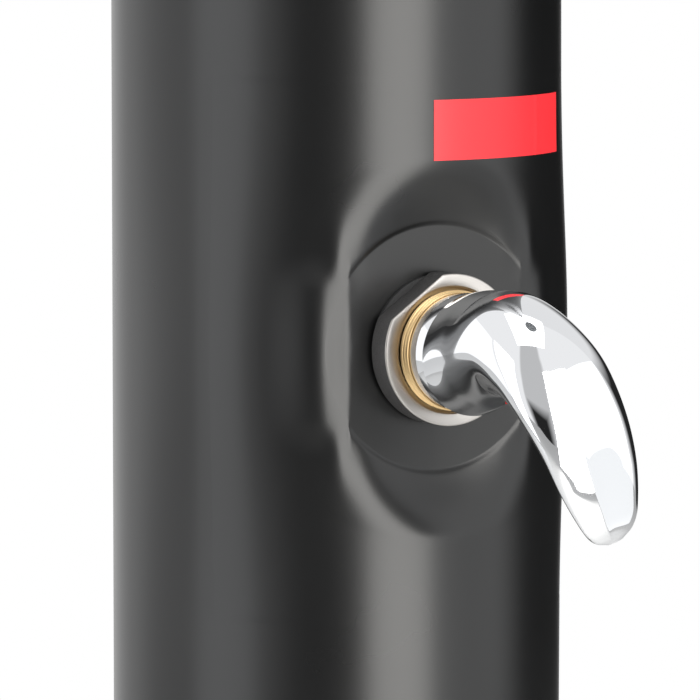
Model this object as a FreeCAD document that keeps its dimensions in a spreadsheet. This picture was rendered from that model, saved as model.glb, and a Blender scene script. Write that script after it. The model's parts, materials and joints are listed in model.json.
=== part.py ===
"""Outdoor shower post: a solar tank tube on a ground foot, with a single lever mixer in a
pressed flat seat, its inner hoses, and an overhead arm with a ball joint and a rain head.

Millimetres.  +Z is up, -Y is the front, where the lever and the head are.  The origin is on
the tank's axis, on the ground.
"""
import FreeCAD, Part
import math
import os
import Sketcher

Vector = FreeCAD.Vector
Rotation = FreeCAD.Rotation
Placement = FreeCAD.Placement

# Driving dimensions: name, value, what it is
SIZES = (
    ("fit", 0.2, "glue, press or slip line between fitted pieces"),
    ("running_fit", 0.05, "radial clearance of a piece that turns in another"),
    ("free_gap", 0.35, "gap between curved faces that pass each other"),
    ("pin_fit", 0.02, "radial clearance of the tilt pin in its carrier"),
    ("edge", 1, "small bevel or step on a turned edge"),
    ("round_edge", 2, "larger bevel on a moulded edge"),
    ("overrun", 1, "how far a cutting tool runs past a face"),
    # ground foot
    ("foot_radius", 122, "radius of the foot's flange"),
    ("foot_thickness", 11, "thickness of the foot's flange"),
    ("foot_hub_radius", 87.5, "outer radius of the sleeve round the tank"),
    ("foot_hub_height", 80, "height of the sleeve above the ground"),
    ("foot_bevel", 3, "bevel on the flange's rim"),
    ("foot_floor", 1, "socket's floor above the flange's face"),
    ("foot_rib_drop", 14, "rib's top below the sleeve's rim"),
    ("foot_rib_width", 6, "thickness of a gusset rib"),
    ("foot_rib_inset", 7, "how far a rib stops inside the flange's rim"),
    ("anchor_circle_radius", 106, "radius of the ring of anchor bolts"),
    ("anchor_hole_radius", 5.5, "hole for an M10 anchor bolt"),
    # tank
    ("tank_radius", 80, "outer radius of the tank tube"),
    ("tank_wall", 3, "wall of the tank tube"),
    ("tank_length", 2080, "length of the tank tube"),
    ("cap_lip", 4, "thickness of the cap's lip that covers the tube's end"),
    ("cap_plug_length", 30, "how far a cap reaches into the tube"),
    ("cap_plug_wall", 4.8, "wall of the cap's plug"),
    ("cap_floor", 4, "thickness of the cap's floor inside the plug"),
    ("cap_rise", 17, "how far the top cap's dome rises above its lip"),
    ("ring_groove_width", 4, "width of the groove for the cap's seal ring"),
    ("ring_groove_depth", 3.1, "depth of the groove for the cap's seal ring"),
    ("ring_groove_offset", 14, "groove's middle above the cap's lip"),
    ("ring_wire_radius", 1.6, "radius of the cap's seal ring section"),
    ("drill_start", 60, "tank axis to the start of the screw holes"),
    ("drill_length", 40, "length of the drill that makes them"),
    ("screw_height", 9, "foot screws above the bottom cap's lip"),
    ("screw_radius", 2.4, "shank of a foot screw"),
    ("screw_length", 17, "shank length of a foot screw"),
    ("screw_head_radius", 4.6, "head of a foot screw"),
    ("screw_head_height", 2.8, "head height of a foot screw"),
    # pressed seat for the mixer
    ("mixer_height", 1150, "height of the mixer's axis"),
    ("seat_distance", 71.5, "tank axis to the face of the pressed seat"),
    ("seat_radius", 42.5, "radius of the pressed flat disc"),
    ("seat_step", 0.8, "small step at the disc's rim"),
    ("seat_blend_radius", 66, "radius where the press mark runs out"),
    ("seat_blend_rise", 9.2, "rise of the sloped surround above the disc"),
    ("seat_hole_radius", 20.4, "hole for the mixer's neck"),
    # mixer body
    ("neck_radius", 20, "threaded neck of the mixer"),
    ("neck_bevel", 0.8, "bevel on the neck's end"),
    ("neck_end", 17.5, "neck's end in front of the seat"),
    ("washer_radius", 26.5, "rubber washers each side of the wall"),
    ("washer_thickness", 1.6, "thickness of a rubber washer"),
    ("nut_radius", 26.5, "fixing nut's outer radius"),
    ("nut_flat", 23.4, "fixing nut's axis to its spanner flat"),
    ("nut_thickness", 10, "fixing nut's thickness"),
    ("nut_edge", 1.4, "bevel on the fixing nut's front edge"),
    ("nut_recess_radius", 22.4, "mouth of the cone in the fixing nut's front"),
    ("nut_recess_depth", 1.8, "depth of the cone in the fixing nut's front"),
    ("nut_turn", 126, "angle at which the fixing nut came to rest, degrees"),
    ("body_flange_radius", 28, "mixer body's flange behind the wall"),
    ("body_flange_thickness", 4, "thickness of that flange"),
    ("body_radius", 22.5, "mixer body's barrel"),
    ("body_length", 35, "barrel behind the flange"),
    ("cartridge_radius", 17.45, "cartridge housing's outer radius"),
    ("cartridge_depth", 16, "cartridge's foot behind the seat's face"),
    ("port_offset", 33, "water ports' axis behind the seat's face"),
    ("port_radius", 9, "threaded water stubs"),
    ("port_bore", 5.5, "bore of a water stub"),
    ("port_reach", 36, "mixer axis to a stub's end"),
    # cartridge
    ("shoulder_offset", 11, "housing's shoulder in front of the seat's face"),
    ("collar_radius", 14.2, "housing's collar"),
    ("collar_end", 24, "collar's end in front of the seat's face"),
    ("chamber_radius", 13.6, "water chamber in the housing"),
    ("chamber_floor", 3.4, "housing's floor under the discs"),
    ("chamber_end", 6, "chamber's end in front of the seat's face"),
    ("guide_radius", 11.5, "bore that guides the turning carrier"),
    ("inlet_hole_radius", 2.8, "water holes in floor and discs"),
    ("inlet_hole_circle", 7, "radius of the ring of water holes"),
    ("disc_thickness", 3.4, "thickness of a ceramic disc"),
    ("moving_disc_radius", 9, "sliding ceramic disc"),
    ("moving_disc_rest", 3.7, "sliding disc's offset when closed"),
    ("driver_radius", 5.5, "driver boss on the sliding disc"),
    ("driver_height", 3.2, "height of the driver boss"),
    ("driver_socket", 3.3, "socket for the stem's ball"),
    ("driver_sink", 1.2, "how far the socket sinks into the disc itself"),
    ("carrier_foot_radius", 13, "carrier's foot inside the chamber"),
    ("carrier_foot_start", 2, "carrier's lower face"),
    ("carrier_foot_height", 3.6, "height of the carrier's foot"),
    ("carrier_end", 23.6, "carrier's upper face"),
    ("carrier_slot_length", 19, "slot that lets the stem tilt"),
    ("pivot_offset", 18.4, "tilt pin in front of the seat's face"),
    ("pin_radius", 2, "tilt pin"),
    ("pin_length", 20.4, "tilt pin's length"),
    ("stem_width", 9, "square stem's side"),
    ("stem_start", 14, "square part's lower end"),
    ("stem_end", 52, "stem's outer end"),
    ("stem_arm_radius", 2.4, "round arm below the pin"),
    ("stem_ball_radius", 2.8, "ball at the arm's end"),
    ("stem_ball_offset", -3.5, "ball's centre from the seat's face"),
    ("cap_nut_radius", 20, "cartridge nut's flange"),
    ("cap_nut_thickness", 4.4, "cartridge nut's flange thickness"),
    ("cap_nut_thread", 18.7, "cartridge nut's threaded part"),
    ("cap_nut_spigot", 16.4, "spigot that the trim dome screws on"),
    ("cap_nut_spigot_end", 26.4, "spigot's end in front of the seat's face"),
    # trim dome and lever
    ("dome_radius", 21, "sphere of the trim dome, centred on the tilt pin"),
    ("dome_start", 22.3, "trim dome's back edge"),
    ("dome_end", 35, "trim dome's front edge"),
    ("dome_opening", 11.9, "opening for the stem"),
    ("lever_start", 28.9, "lever's rim in front of the seat's face"),
    ("lever_rim_radius", 19.5, "lever's rim"),
    ("lever_reach", 57.9, "rim to the lever's furthest point outwards"),
    ("lever_drop", 64.5, "mixer axis to the lever's tip"),
    ("lever_turn", 20, "how far the lever is turned from straight down, degrees"),
    ("lever_screw_offset", 44, "clamping screw in front of the seat's face"),
    ("lever_screw_radius", 2.2, "clamping screw"),
    ("lever_screw_length", 6.5, "clamping screw's length"),
    ("index_radius", 3, "colour plug over the clamping screw"),
    ("index_depth", 3.5, "colour plug's length"),
    ("index_reach", 15.9, "stem axis to the colour plug's face"),
    # wall fittings and inner pipes
    ("shank_radius", 10.4, "half inch thread"),
    ("shank_hole", 10.8, "hole in the tank wall for it"),
    ("shank_start", 50, "tank axis to the shank's inner end"),
    ("shank_bore", 6.5, "bore of a wall fitting"),
    ("saddle_radius", 16.5, "saddle gaskets"),
    ("saddle_face", 84, "tank axis to the outer saddle's flat face"),
    ("saddle_inner_face", 72, "tank axis to the inner saddle's flat face"),
    ("saddle_sink", 10, "outer saddle's blank inside the tube's skin, before it is cut"),
    ("saddle_reach", 30, "half the stretch of tube that shapes a saddle"),
    ("collar_width", 17, "fitting's collar outside the wall"),
    ("collar_thickness", 5, "collar's thickness"),
    ("hose_thread_radius", 13.2, "three quarter inch hose thread"),
    ("hose_thread_length", 16, "length of the hose thread"),
    ("locknut_radius", 17, "corner radius of an inner locknut"),
    ("locknut_thickness", 9, "thickness of an inner locknut"),
    ("inlet_height", 150, "height of the water inlet, at the back"),
    ("drain_height", 112, "height of the winter drain, at the front"),
    ("drain_thread_length", 12, "length of the drain's thread"),
    ("drain_shank_rest", 4, "drain shank beyond its locknut"),
    ("grip_groove_radius", 1.6, "grip groove in the drain cap"),
    ("grip_groove_offset", 0.6, "groove's centre outside the cap"),
    ("drain_cap_radius", 17, "drain cap"),
    ("drain_cap_floor", 4, "drain cap's closed end"),
    ("drain_seal_thickness", 1.8, "drain cap's seal"),
    ("tee_distance", 34, "tank axis to the tee's upright"),
    ("tee_radius", 11.5, "tee's upright"),
    ("tee_wall", 2.5, "wall between the tee's upright and its branch or valve"),
    ("valve_seat", 10, "depth of the valve's seat in the tee"),
    ("tee_half_height", 18, "half the tee's upright"),
    ("tee_stub_length", 14, "tee's upper threaded stub"),
    ("valve_length", 34, "backflow valve"),
    ("hose_radius", 6.5, "inner hoses and pipe"),
    ("hose_wall", 2, "wall of the inner hoses and pipe"),
    ("union_radius", 12, "union nut on a hose end"),
    ("union_length", 15, "union nut's length"),
    ("union_floor", 3.5, "union nut's closed end"),
    ("elbow_reach", 52, "mixer axis to the hot pipe"),
    ("elbow_radius", 11, "hot elbow"),
    ("elbow_overlap", 12, "elbow's arm over the mixer's stub"),
    ("elbow_socket", 20, "length of the tool that bores an elbow's socket"),
    ("elbow_pipe_depth", 14, "how deep the hot pipe sits in the elbow"),
    ("hot_pipe_margin", 35, "hot pipe's mouth below the tube's end"),
    # overhead arm and head
    ("arm_drop", 66, "arm's axis below the tube's upper end"),
    ("arm_radius", 12.5, "overhead arm tube"),
    ("arm_bore", 10.6, "bore of the arm tube"),
    ("arm_reach", 262, "tank axis to the head's axis"),
    ("arm_bend_radius", 38, "bend of the arm tube"),
    ("arm_down", 64, "arm's axis to the arm's lower end"),
    ("arm_start", 94, "tank axis to the arm tube's inner end"),
    ("arm_overlap", 18, "elbow's shank inside the arm tube"),
    ("rosette_bevel", 5, "bevel on the cover's front"),
    ("rosette_radius", 30, "cover round the arm's root"),
    ("rosette_face", 99, "tank axis to the cover's front"),
    ("rosette_wall", 1.6, "cover's wall"),
    ("ball_radius", 11, "ball of the head's joint"),
    ("ball_drop", 20, "arm's lower end to the ball's centre"),
    ("socket_collar_radius", 13.9, "collar of the ball's socket"),
    ("ball_spigot", 14, "socket's spigot up into the arm"),
    ("ball_bore", 3.5, "bore of the ball piece"),
    ("socket_mouth", 5.5, "ball's centre to the socket's mouth"),
    ("ball_nut_radius", 15.8, "nut that holds the ball"),
    ("ball_nut_lip", 5, "ball's centre to the nut's lower lip"),
    ("ball_seal_wire", 1.1, "section of the ball's seal ring"),
    ("ball_seal_radius", 8, "radius of the ball's seal ring"),
    ("ball_neck_radius", 5.8, "neck under the ball"),
    ("head_drop", 42, "ball's centre to the head's upper face"),
    ("head_thread_length", 14, "thread between ball piece and head"),
    ("head_boss_radius", 15, "boss on top of the head"),
    ("head_boss_height", 15, "height of that boss"),
    ("head_bevel", 5, "bevel on the head's upper edge"),
    ("head_corner", 3, "inner corner of the head's shell"),
    ("head_cone", 6, "height of the cone round the boss"),
    ("head_cone_width", 4, "width of that cone"),
    ("plate_inset", 1.5, "spray plate above the rim"),
    ("head_radius", 76, "rain head"),
    ("head_height", 12, "rain head's rim"),
    ("head_wall", 2.4, "rain head's wall"),
    ("head_face_thickness", 3, "spray plate"),
    ("head_gasket_width", 6, "ring gasket over the spray plate"),
    ("head_gasket_thickness", 1.5, "ring gasket's thickness"),
    ("nozzle_radius", 1.7, "spray nipple"),
    ("nozzle_height", 2.4, "spray nipple's height"),
    ("nozzle_ring_step", 20, "distance between rings of nipples"),
)

# The lever's sections from its rim to its tip.  Each row is a share of lever_reach outwards,
# a share of lever_drop downwards, half the thickness and half the width as shares of the
# rim's radius, and the angle of the section's normal from the outward axis in degrees.
LEVER_SECTIONS = (
    (0.000, 0.000, 1.000, 1.000, 0),
    (0.190, -0.058, 1.055, 1.056, 0),
    (0.474, -0.090, 0.930, 1.060, 11),
    (0.715, -0.020, 0.735, 1.040, 28),
    (0.880, 0.125, 0.525, 0.970, 45),
    (0.985, 0.370, 0.342, 0.903, 63),
    (1.000, 0.622, 0.203, 0.802, 79),
    (0.981, 0.855, 0.111, 0.555, 93),
    (0.960, 0.970, 0.053, 0.243, 102),
)

# The backflow valve's lips: width and thickness as shares of its radius
VALVE_LIPS = (1.05, 0.16)

# Where a hose's two bends meet its sloping run, as a share of that run's height
HOSE_BEND_SHARE = 0.45

DRAIN_GRIPS = 12
WATER_HOLES = 3
NOZZLE_RINGS = (1, 2, 3)
NOZZLES_PER_RING = 6

doc = FreeCAD.newDocument("shower_post")
sheet = doc.addObject("Spreadsheet::Sheet", "Sizes")
for row, (alias, number, remark) in enumerate(SIZES, start=1):
    sheet.set("A%d" % row, str(number))
    sheet.setAlias("A%d" % row, alias)
    sheet.set("B%d" % row, remark)
doc.recompute()


class Size:
    """A length with its number and the sheet expression that gives it."""

    def __init__(self, number, text):
        self.number = float(number)
        self.text = text

    def __add__(self, other):
        other = as_size(other)
        return Size(self.number + other.number, "(%s + %s)" % (self.text, other.text))

    def __sub__(self, other):
        other = as_size(other)
        return Size(self.number - other.number, "(%s - %s)" % (self.text, other.text))

    def __mul__(self, other):
        other = as_size(other)
        return Size(self.number * other.number, "(%s * %s)" % (self.text, other.text))

    def __truediv__(self, other):
        other = as_size(other)
        return Size(self.number / other.number, "(%s / %s)" % (self.text, other.text))

    def __neg__(self):
        return Size(-self.number, "(0 - %s)" % self.text)

    def __float__(self):
        return self.number


def as_size(item):
    """A Size as it is, or a plain number as a Size."""
    if isinstance(item, Size):
        return item
    return Size(item, repr(item))


def root(item):
    """Square root of a Size."""
    return Size(math.sqrt(item.number), "sqrt(%s)" % item.text)


class Named:
    """Every cell of the sheet as a Size, by its alias."""


size = Named()
for alias, number, remark in SIZES:
    setattr(size, alias, Size(sheet.get(alias), "Sizes.%s" % alias))

ZERO = Size(0, "0")
X_AXIS = Vector(1, 0, 0)
Z_AXIS = Vector(0, 0, 1)

# Turns that carry a piece's own +Z to a direction of the post
UP = Rotation()
DOWN = Rotation(X_AXIS, 180)
FRONT = Rotation(X_AXIS, 90)
BACK = Rotation(X_AXIS, -90)
RIGHT = Rotation(Vector(0, 1, 0), 90)

parts = {}


def keep(label, item):
    """Give a finished sub-part its name."""
    item.Label = label
    parts[label] = item
    return item


def seat(item, x=ZERO, y=ZERO, z=ZERO, turn=UP):
    """Put a piece at a place that follows the sheet."""
    x, y, z = as_size(x), as_size(y), as_size(z)
    item.Placement = Placement(Vector(float(x), float(y), float(z)), turn)
    for axis, place in (("x", x), ("y", y), ("z", z)):
        if place is not ZERO:
            item.setExpression("Placement.Base.%s" % axis, place.text)
    return item


def bind(item, **lengths):
    """Bind an object's properties to the sheet."""
    for name, length in lengths.items():
        length = as_size(length)
        setattr(item, name, float(length))
        item.setExpression(name, length.text)
    return item


def plane_of(body, role):
    """One of a body's own origin planes."""
    return [f for f in body.Origin.OriginFeatures if f.Role == role][0]


def outline(body, role, points, name="Profile"):
    """A closed sketch of straight edges, every corner held to the sheet."""
    sketch = body.newObject("Sketcher::SketchObject", name)
    sketch.AttachmentSupport = (plane_of(body, role), [""])
    sketch.MapMode = "FlatFace"
    points = [(as_size(x), as_size(y)) for x, y in points]
    corners = [Vector(float(x), float(y), 0) for x, y in points]
    count = len(corners)
    sketch.addGeometry(
        [Part.LineSegment(corners[i], corners[(i + 1) % count]) for i in range(count)], False)
    sketch.addConstraint(
        [Sketcher.Constraint("Coincident", i, 2, (i + 1) % count, 1) for i in range(count)])
    for i, (x, y) in enumerate(points):
        hold(sketch, i, "DistanceX", -2, x)
        hold(sketch, i, "DistanceY", -1, y)
    return sketch


def hold(sketch, corner, kind, zero_axis, length):
    """Hold one coordinate of a sketch corner, on the axis itself where it is nought."""
    if length.number == 0:
        sketch.addConstraint(Sketcher.Constraint("PointOnObject", corner, 1, zero_axis))
        return
    number = sketch.addConstraint(
        Sketcher.Constraint(kind, -1, 1, corner, 1, length.number))
    sketch.setExpression("Constraints[%d]" % number, length.text)


def raise_sketch(sketch, height):
    """Lift a sketch off its plane by a height that follows the sheet."""
    sketch.AttachmentOffset = Placement(Vector(0, 0, float(height)), Rotation())
    sketch.setExpression("AttachmentOffset.Base.z", height.text)


def turned(name, points):
    """A body turned about its own Z from (radius, height) points."""
    body = doc.addObject("PartDesign::Body", name)
    sketch = outline(body, "XZ_Plane", points)
    revolution = body.newObject("PartDesign::Revolution", "Revolution")
    revolution.Profile = sketch
    revolution.ReferenceAxis = (sketch, ["V_Axis"])
    revolution.Angle = 360
    return body


def ring(name, outer, inner, low, high):
    """A turned ring, or a disc where inner is nought."""
    return turned(name, [(inner, low), (outer, low), (outer, high), (inner, high)])


def circle_sketch(body, name, radius, x, y):
    """A sketch of one circle on the body's XY plane."""
    sketch = body.newObject("Sketcher::SketchObject", name)
    sketch.AttachmentSupport = (plane_of(body, "XY_Plane"), [""])
    sketch.MapMode = "FlatFace"
    x, y, radius = as_size(x), as_size(y), as_size(radius)
    sketch.addGeometry(Part.Circle(Vector(float(x), float(y), 0), Z_AXIS, float(radius)), False)
    for kind, axis, length in (("DistanceX", -2, x), ("DistanceY", -1, y)):
        if length.number == 0:
            sketch.addConstraint(Sketcher.Constraint("PointOnObject", 0, 3, axis))
        else:
            number = sketch.addConstraint(
                Sketcher.Constraint(kind, -1, 1, 0, 3, length.number))
            sketch.setExpression("Constraints[%d]" % number, length.text)
    number = sketch.addConstraint(Sketcher.Constraint("Radius", 0, float(radius)))
    sketch.setExpression("Constraints[%d]" % number, radius.text)
    return sketch


def drill(body, radius, x=ZERO, y=ZERO, name="Drill"):
    """A round hole right through a body along its Z."""
    pocket = body.newObject("PartDesign::Pocket", name)
    pocket.Profile = circle_sketch(body, name + "Sketch", radius, x, y)
    pocket.Type = "ThroughAll"
    pocket.Midplane = True
    return pocket


def repeat(body, feature, count, name="Repeat"):
    """A feature repeated evenly round a body's Z."""
    pattern = body.newObject("PartDesign::PolarPattern", name)
    pattern.Originals = [feature]
    pattern.Axis = (body.Origin.OriginFeatures[2], [""])
    pattern.Angle = 360
    pattern.Occurrences = count
    body.Tip = pattern
    return pattern


def rod(name, radius, length, x=ZERO, y=ZERO, z=ZERO, turn=UP):
    """A round bar that starts at a place and runs along its own +Z."""
    return seat(bind(doc.addObject("Part::Cylinder", name), Radius=radius, Height=length),
                x, y, z, turn)


def ball(name, radius, x=ZERO, y=ZERO, z=ZERO):
    """A sphere."""
    return seat(bind(doc.addObject("Part::Sphere", name), Radius=radius), x, y, z)


def prism(name, corner_radius, height, z=ZERO):
    """A six-sided bar."""
    item = bind(doc.addObject("Part::Prism", name), Circumradius=corner_radius, Height=height)
    item.Polygon = 6
    return seat(item, z=z)


def cut(name, base, *tools):
    """A piece less each of its tools."""
    for number, tool in enumerate(tools, start=1):
        item = doc.addObject("Part::Cut", "%s_cut%d" % (name, number))
        item.Base = base
        item.Tool = tool
        base = item
    return base


def fuse(name, *items):
    """Solids joined into one."""
    item = doc.addObject("Part::MultiFuse", name)
    item.Shapes = list(items)
    item.Refine = True
    return item


def common(name, base, tool):
    """What two solids share."""
    item = doc.addObject("Part::Common", name)
    item.Base = base
    item.Tool = tool
    return item


def group(name, items):
    """Separate like solids in one sub-part."""
    item = doc.addObject("Part::Compound", name)
    item.Links = list(items)
    return item


# Heights and places that several pieces share
cap_seat = size.foot_thickness + size.foot_floor + size.fit
tube_low = cap_seat + size.cap_lip
tube_high = tube_low + size.tank_length
tank_bore = size.tank_radius - size.tank_wall
plug_radius = tank_bore - size.fit
seat_y = -size.seat_distance
wall_back = -size.tank_wall
washer_back = wall_back - size.washer_thickness
arm_height = tube_high - size.arm_drop
port_y = size.port_offset - size.seat_distance
mixed_port_top = size.mixer_height + size.port_reach
cold_port_low = size.mixer_height - size.port_reach
arm_end = arm_height - size.arm_down
ball_height = arm_end - size.ball_drop
head_top = ball_height - size.head_drop


def make_foot():
    """Moulded foot: flange with anchor holes, a sleeve for the tank and gusset ribs."""
    floor = size.foot_thickness + size.foot_floor
    socket = size.tank_radius + size.fit
    body = turned("Foot", [
        (ZERO, ZERO), (size.foot_radius, ZERO), (size.foot_radius, size.foot_thickness - size.foot_bevel),
        (size.foot_radius - size.foot_bevel, size.foot_thickness),
        (size.foot_hub_radius, size.foot_thickness),
        (size.foot_hub_radius, size.foot_hub_height - size.round_edge),
        (size.foot_hub_radius - size.round_edge, size.foot_hub_height),
        (socket, size.foot_hub_height),
        (socket, floor), (ZERO, floor)])
    sketch = outline(body, "XZ_Plane", [
        (size.foot_hub_radius - size.round_edge, size.foot_thickness - size.edge),
        (size.foot_radius - size.foot_rib_inset, size.foot_thickness - size.edge),
        (size.foot_hub_radius - size.round_edge, size.foot_hub_height - size.foot_rib_drop)],
        "RibProfile")
    rib = body.newObject("PartDesign::Pad", "Rib")
    rib.Profile = sketch
    rib.Midplane = True
    bind(rib, Length=size.foot_rib_width)
    repeat(body, rib, 4, "Ribs")
    diagonal = size.anchor_circle_radius * math.sqrt(0.5)
    hole = drill(body, size.anchor_hole_radius, diagonal, diagonal, "AnchorHole")
    repeat(body, hole, 4, "AnchorHoles")
    tools = radial_rods("FootScrewHole", size.screw_radius + size.fit,
                        size.drill_start, size.drill_length)
    keep("foot", cut("FootDrilled", body, *tools))


def radial_rods(name, radius, start, length):
    """Four level bars on the diagonals, at the height of the foot's screws."""
    rods = []
    start = as_size(start)
    for number in range(4):
        angle = 45 + 90 * number
        across = Vector(math.cos(math.radians(angle)), math.sin(math.radians(angle)), 0)
        rods.append(rod("%s%d" % (name, number), radius, length,
                        start * across.x, start * across.y, tube_low + size.screw_height,
                        Rotation(Z_AXIS, across)))
    return rods


def make_foot_screws():
    """Four screws through the sleeve and the tube into the bottom cap's plug."""
    under_head = size.foot_hub_radius + size.fit
    heads = radial_rods("ScrewHead", size.screw_head_radius, under_head, size.screw_head_height)
    shanks = radial_rods("ScrewShank", size.screw_radius,
                         under_head - size.screw_length, size.screw_length)
    keep("foot_screws", group("FootScrews", [
        fuse("FootScrew%d" % number, head, shank)
        for number, (head, shank) in enumerate(zip(heads, shanks))]))


def cap_profile(lip_points):
    """Half section of a cap: the given lip, then the plug with its seal ring's groove."""
    low = size.ring_groove_offset - size.ring_groove_width / 2
    high = size.ring_groove_offset + size.ring_groove_width / 2
    groove = plug_radius - size.ring_groove_depth
    hollow = plug_radius - size.cap_plug_wall
    return lip_points + [
        (plug_radius, ZERO), (plug_radius, low), (groove, low), (groove, high),
        (plug_radius, high), (plug_radius, size.cap_plug_length),
        (hollow, size.cap_plug_length), (hollow, size.cap_floor), (ZERO, size.cap_floor)]


def make_caps():
    """The plugs that close the tube, each with a rubber ring in its groove."""
    bottom = turned("BottomCap", cap_profile([
        (ZERO, -size.cap_lip), (size.tank_radius, -size.cap_lip), (size.tank_radius, -size.fit),
        (plug_radius, -size.fit)]))
    seat(bottom, z=tube_low)
    tools = radial_rods("CapScrewHole", size.screw_radius + size.fit / 4,
                        size.drill_start, size.drill_length)
    keep("bottom_cap", cut("BottomCapDrilled", bottom, *tools))

    rise = size.cap_lip + size.cap_rise
    top = turned("TopCap", cap_profile([
        (ZERO, -rise), (size.tank_radius, -rise), (size.tank_radius, -size.fit),
        (plug_radius, -size.fit)]))
    seat(top, z=tube_high, turn=DOWN)
    dome_sphere = (size.tank_radius * size.tank_radius
                   + size.cap_rise * size.cap_rise) / (size.cap_rise * 2)
    keep("top_cap", common("TopCapDome", top, ball(
        "TopCapSphere", dome_sphere, z=tube_high + rise - dome_sphere)))

    wire_circle = plug_radius - size.ring_groove_depth + size.ring_wire_radius + size.running_fit
    for label, height in (("bottom_cap_seal", tube_low + size.ring_groove_offset),
                          ("top_cap_seal", tube_high - size.ring_groove_offset)):
        torus = bind(doc.addObject("Part::Torus", label + "_ring"),
                     Radius1=wire_circle, Radius2=size.ring_wire_radius)
        keep(label, seat(torus, z=height))


def press_tool(name, depth, height):
    """The round stamp that presses the mixer's seat, pushed in by depth."""
    step = size.seat_step
    tool = turned(name, [
        (ZERO, -depth), (size.seat_radius, -depth),
        (size.seat_radius + step, step - depth),
        (size.seat_blend_radius, size.seat_blend_rise - depth),
        (size.seat_blend_radius, height), (ZERO, height)])
    return seat(tool, y=seat_y, z=size.mixer_height, turn=FRONT)


def make_tank():
    """Black tube, pressed flat for the mixer, its bore pressed in by the same tool."""
    outer = rod("TubeOutside", size.tank_radius, size.tank_length, z=tube_low)
    inner = rod("TubeInside", tank_bore, size.tank_length + size.overrun * 2,
                z=tube_low - size.overrun)
    skin = cut("TubePressed", outer, press_tool("StampOutside", ZERO, size.tank_radius))
    hollow = cut("TubeHollow", inner, press_tool("StampInside", size.tank_wall, size.tank_radius))
    holes = [
        rod("MixerHole", size.seat_hole_radius, size.tank_radius,
            y=seat_y + size.tank_wall * 3, z=size.mixer_height, turn=FRONT),
        rod("InletHole", size.shank_hole, size.tank_radius, y=size.shank_start,
            z=size.inlet_height, turn=BACK),
        rod("DrainHole", size.shank_hole, size.tank_radius, y=-size.shank_start,
            z=size.drain_height, turn=FRONT),
        rod("ArmHole", size.shank_hole, size.tank_radius, y=-size.shank_start,
            z=arm_height, turn=FRONT)]
    holes += radial_rods("TubeScrewHole", size.screw_radius + size.fit,
                         size.drill_start, size.drill_length)
    keep("tank_tube", cut("TankTube", skin, hollow, *holes))


def in_mixer(item, turn=0):
    """Seat a piece in the mixer's frame: +Z outwards from the seat's face, +Y up."""
    return seat(item, y=seat_y, z=size.mixer_height, turn=FRONT.multiply(Rotation(Z_AXIS, turn)))


def make_mixer_fixing():
    """Washers each side of the wall and the plated nut with the flat that the spanner takes."""
    bore = size.neck_radius + size.fit
    keep("mixer_outer_gasket", in_mixer(ring(
        "OuterGasket", size.washer_radius - size.edge, bore, size.fit / 4, size.washer_thickness)))
    keep("mixer_inner_gasket", in_mixer(ring(
        "InnerGasket", size.washer_radius, bore, washer_back, wall_back - size.fit / 4)))
    low = size.washer_thickness + size.fit / 4
    high = low + size.nut_thickness
    thread = size.neck_radius + size.running_fit
    nut = turned("FixingNut", [
        (thread, low), (size.nut_radius, low), (size.nut_radius, high - size.nut_edge),
        (size.nut_radius - size.nut_edge, high), (size.nut_recess_radius, high),
        (thread, high - size.nut_recess_depth)])
    sketch = outline(nut, "XY_Plane", [
        (size.nut_flat, -size.nut_radius), (size.nut_radius + size.edge, -size.nut_radius),
        (size.nut_radius + size.edge, size.nut_radius), (size.nut_flat, size.nut_radius)],
        "FlatProfile")
    flat = nut.newObject("PartDesign::Pocket", "SpannerFlat")
    flat.Profile = sketch
    flat.Type = "ThroughAll"
    flat.Midplane = True
    keep("mixer_locknut", in_mixer(nut, float(size.nut_turn)))


def make_mixer_body():
    """Brass body inside the tank: flange, barrel, threaded neck, three water stubs."""
    washer_face = washer_back - size.fit / 4
    flange_back = washer_face - size.body_flange_thickness
    barrel_back = flange_back - size.body_length
    mouth = size.shoulder_offset + size.fit
    cavity = size.cartridge_radius + size.fit
    cavity_floor = -size.cartridge_depth
    barrel = in_mixer(turned("MixerBarrel", [
        (ZERO, barrel_back), (size.body_radius - size.round_edge, barrel_back),
        (size.body_radius, barrel_back + size.round_edge), (size.body_radius, flange_back),
        (size.body_flange_radius, flange_back), (size.body_flange_radius, washer_face),
        (size.neck_radius, washer_face), (size.neck_radius, size.neck_end - size.neck_bevel),
        (size.neck_radius - size.neck_bevel, size.neck_end),
        (size.cap_nut_thread + size.fit, size.neck_end),
        (size.cap_nut_thread + size.fit, mouth), (cavity, mouth), (cavity, cavity_floor),
        (ZERO, cavity_floor)]))
    stubs = []
    bores = []
    for name, turn in (("Mixed", UP), ("Cold", DOWN), ("Hot", RIGHT)):
        stubs.append(rod(name + "Stub", size.port_radius, size.port_reach,
                         y=port_y, z=size.mixer_height, turn=turn))
        bores.append(rod(name + "Bore", size.port_bore, size.port_reach + size.overrun * 2,
                         y=port_y, z=size.mixer_height, turn=turn))
    solid = fuse("MixerCasting", barrel, *stubs)
    for number in range(WATER_HOLES):
        angle = math.radians(90 + 360 / WATER_HOLES * number)
        bores.append(rod("FloorBore%d" % number, size.inlet_hole_radius,
                         size.port_offset - size.cartridge_depth + size.port_bore,
                         size.inlet_hole_circle * math.cos(angle), port_y,
                         size.mixer_height + size.inlet_hole_circle * math.sin(angle), FRONT))
    keep("mixer_body", cut("MixerBody", solid, *bores))


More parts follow.
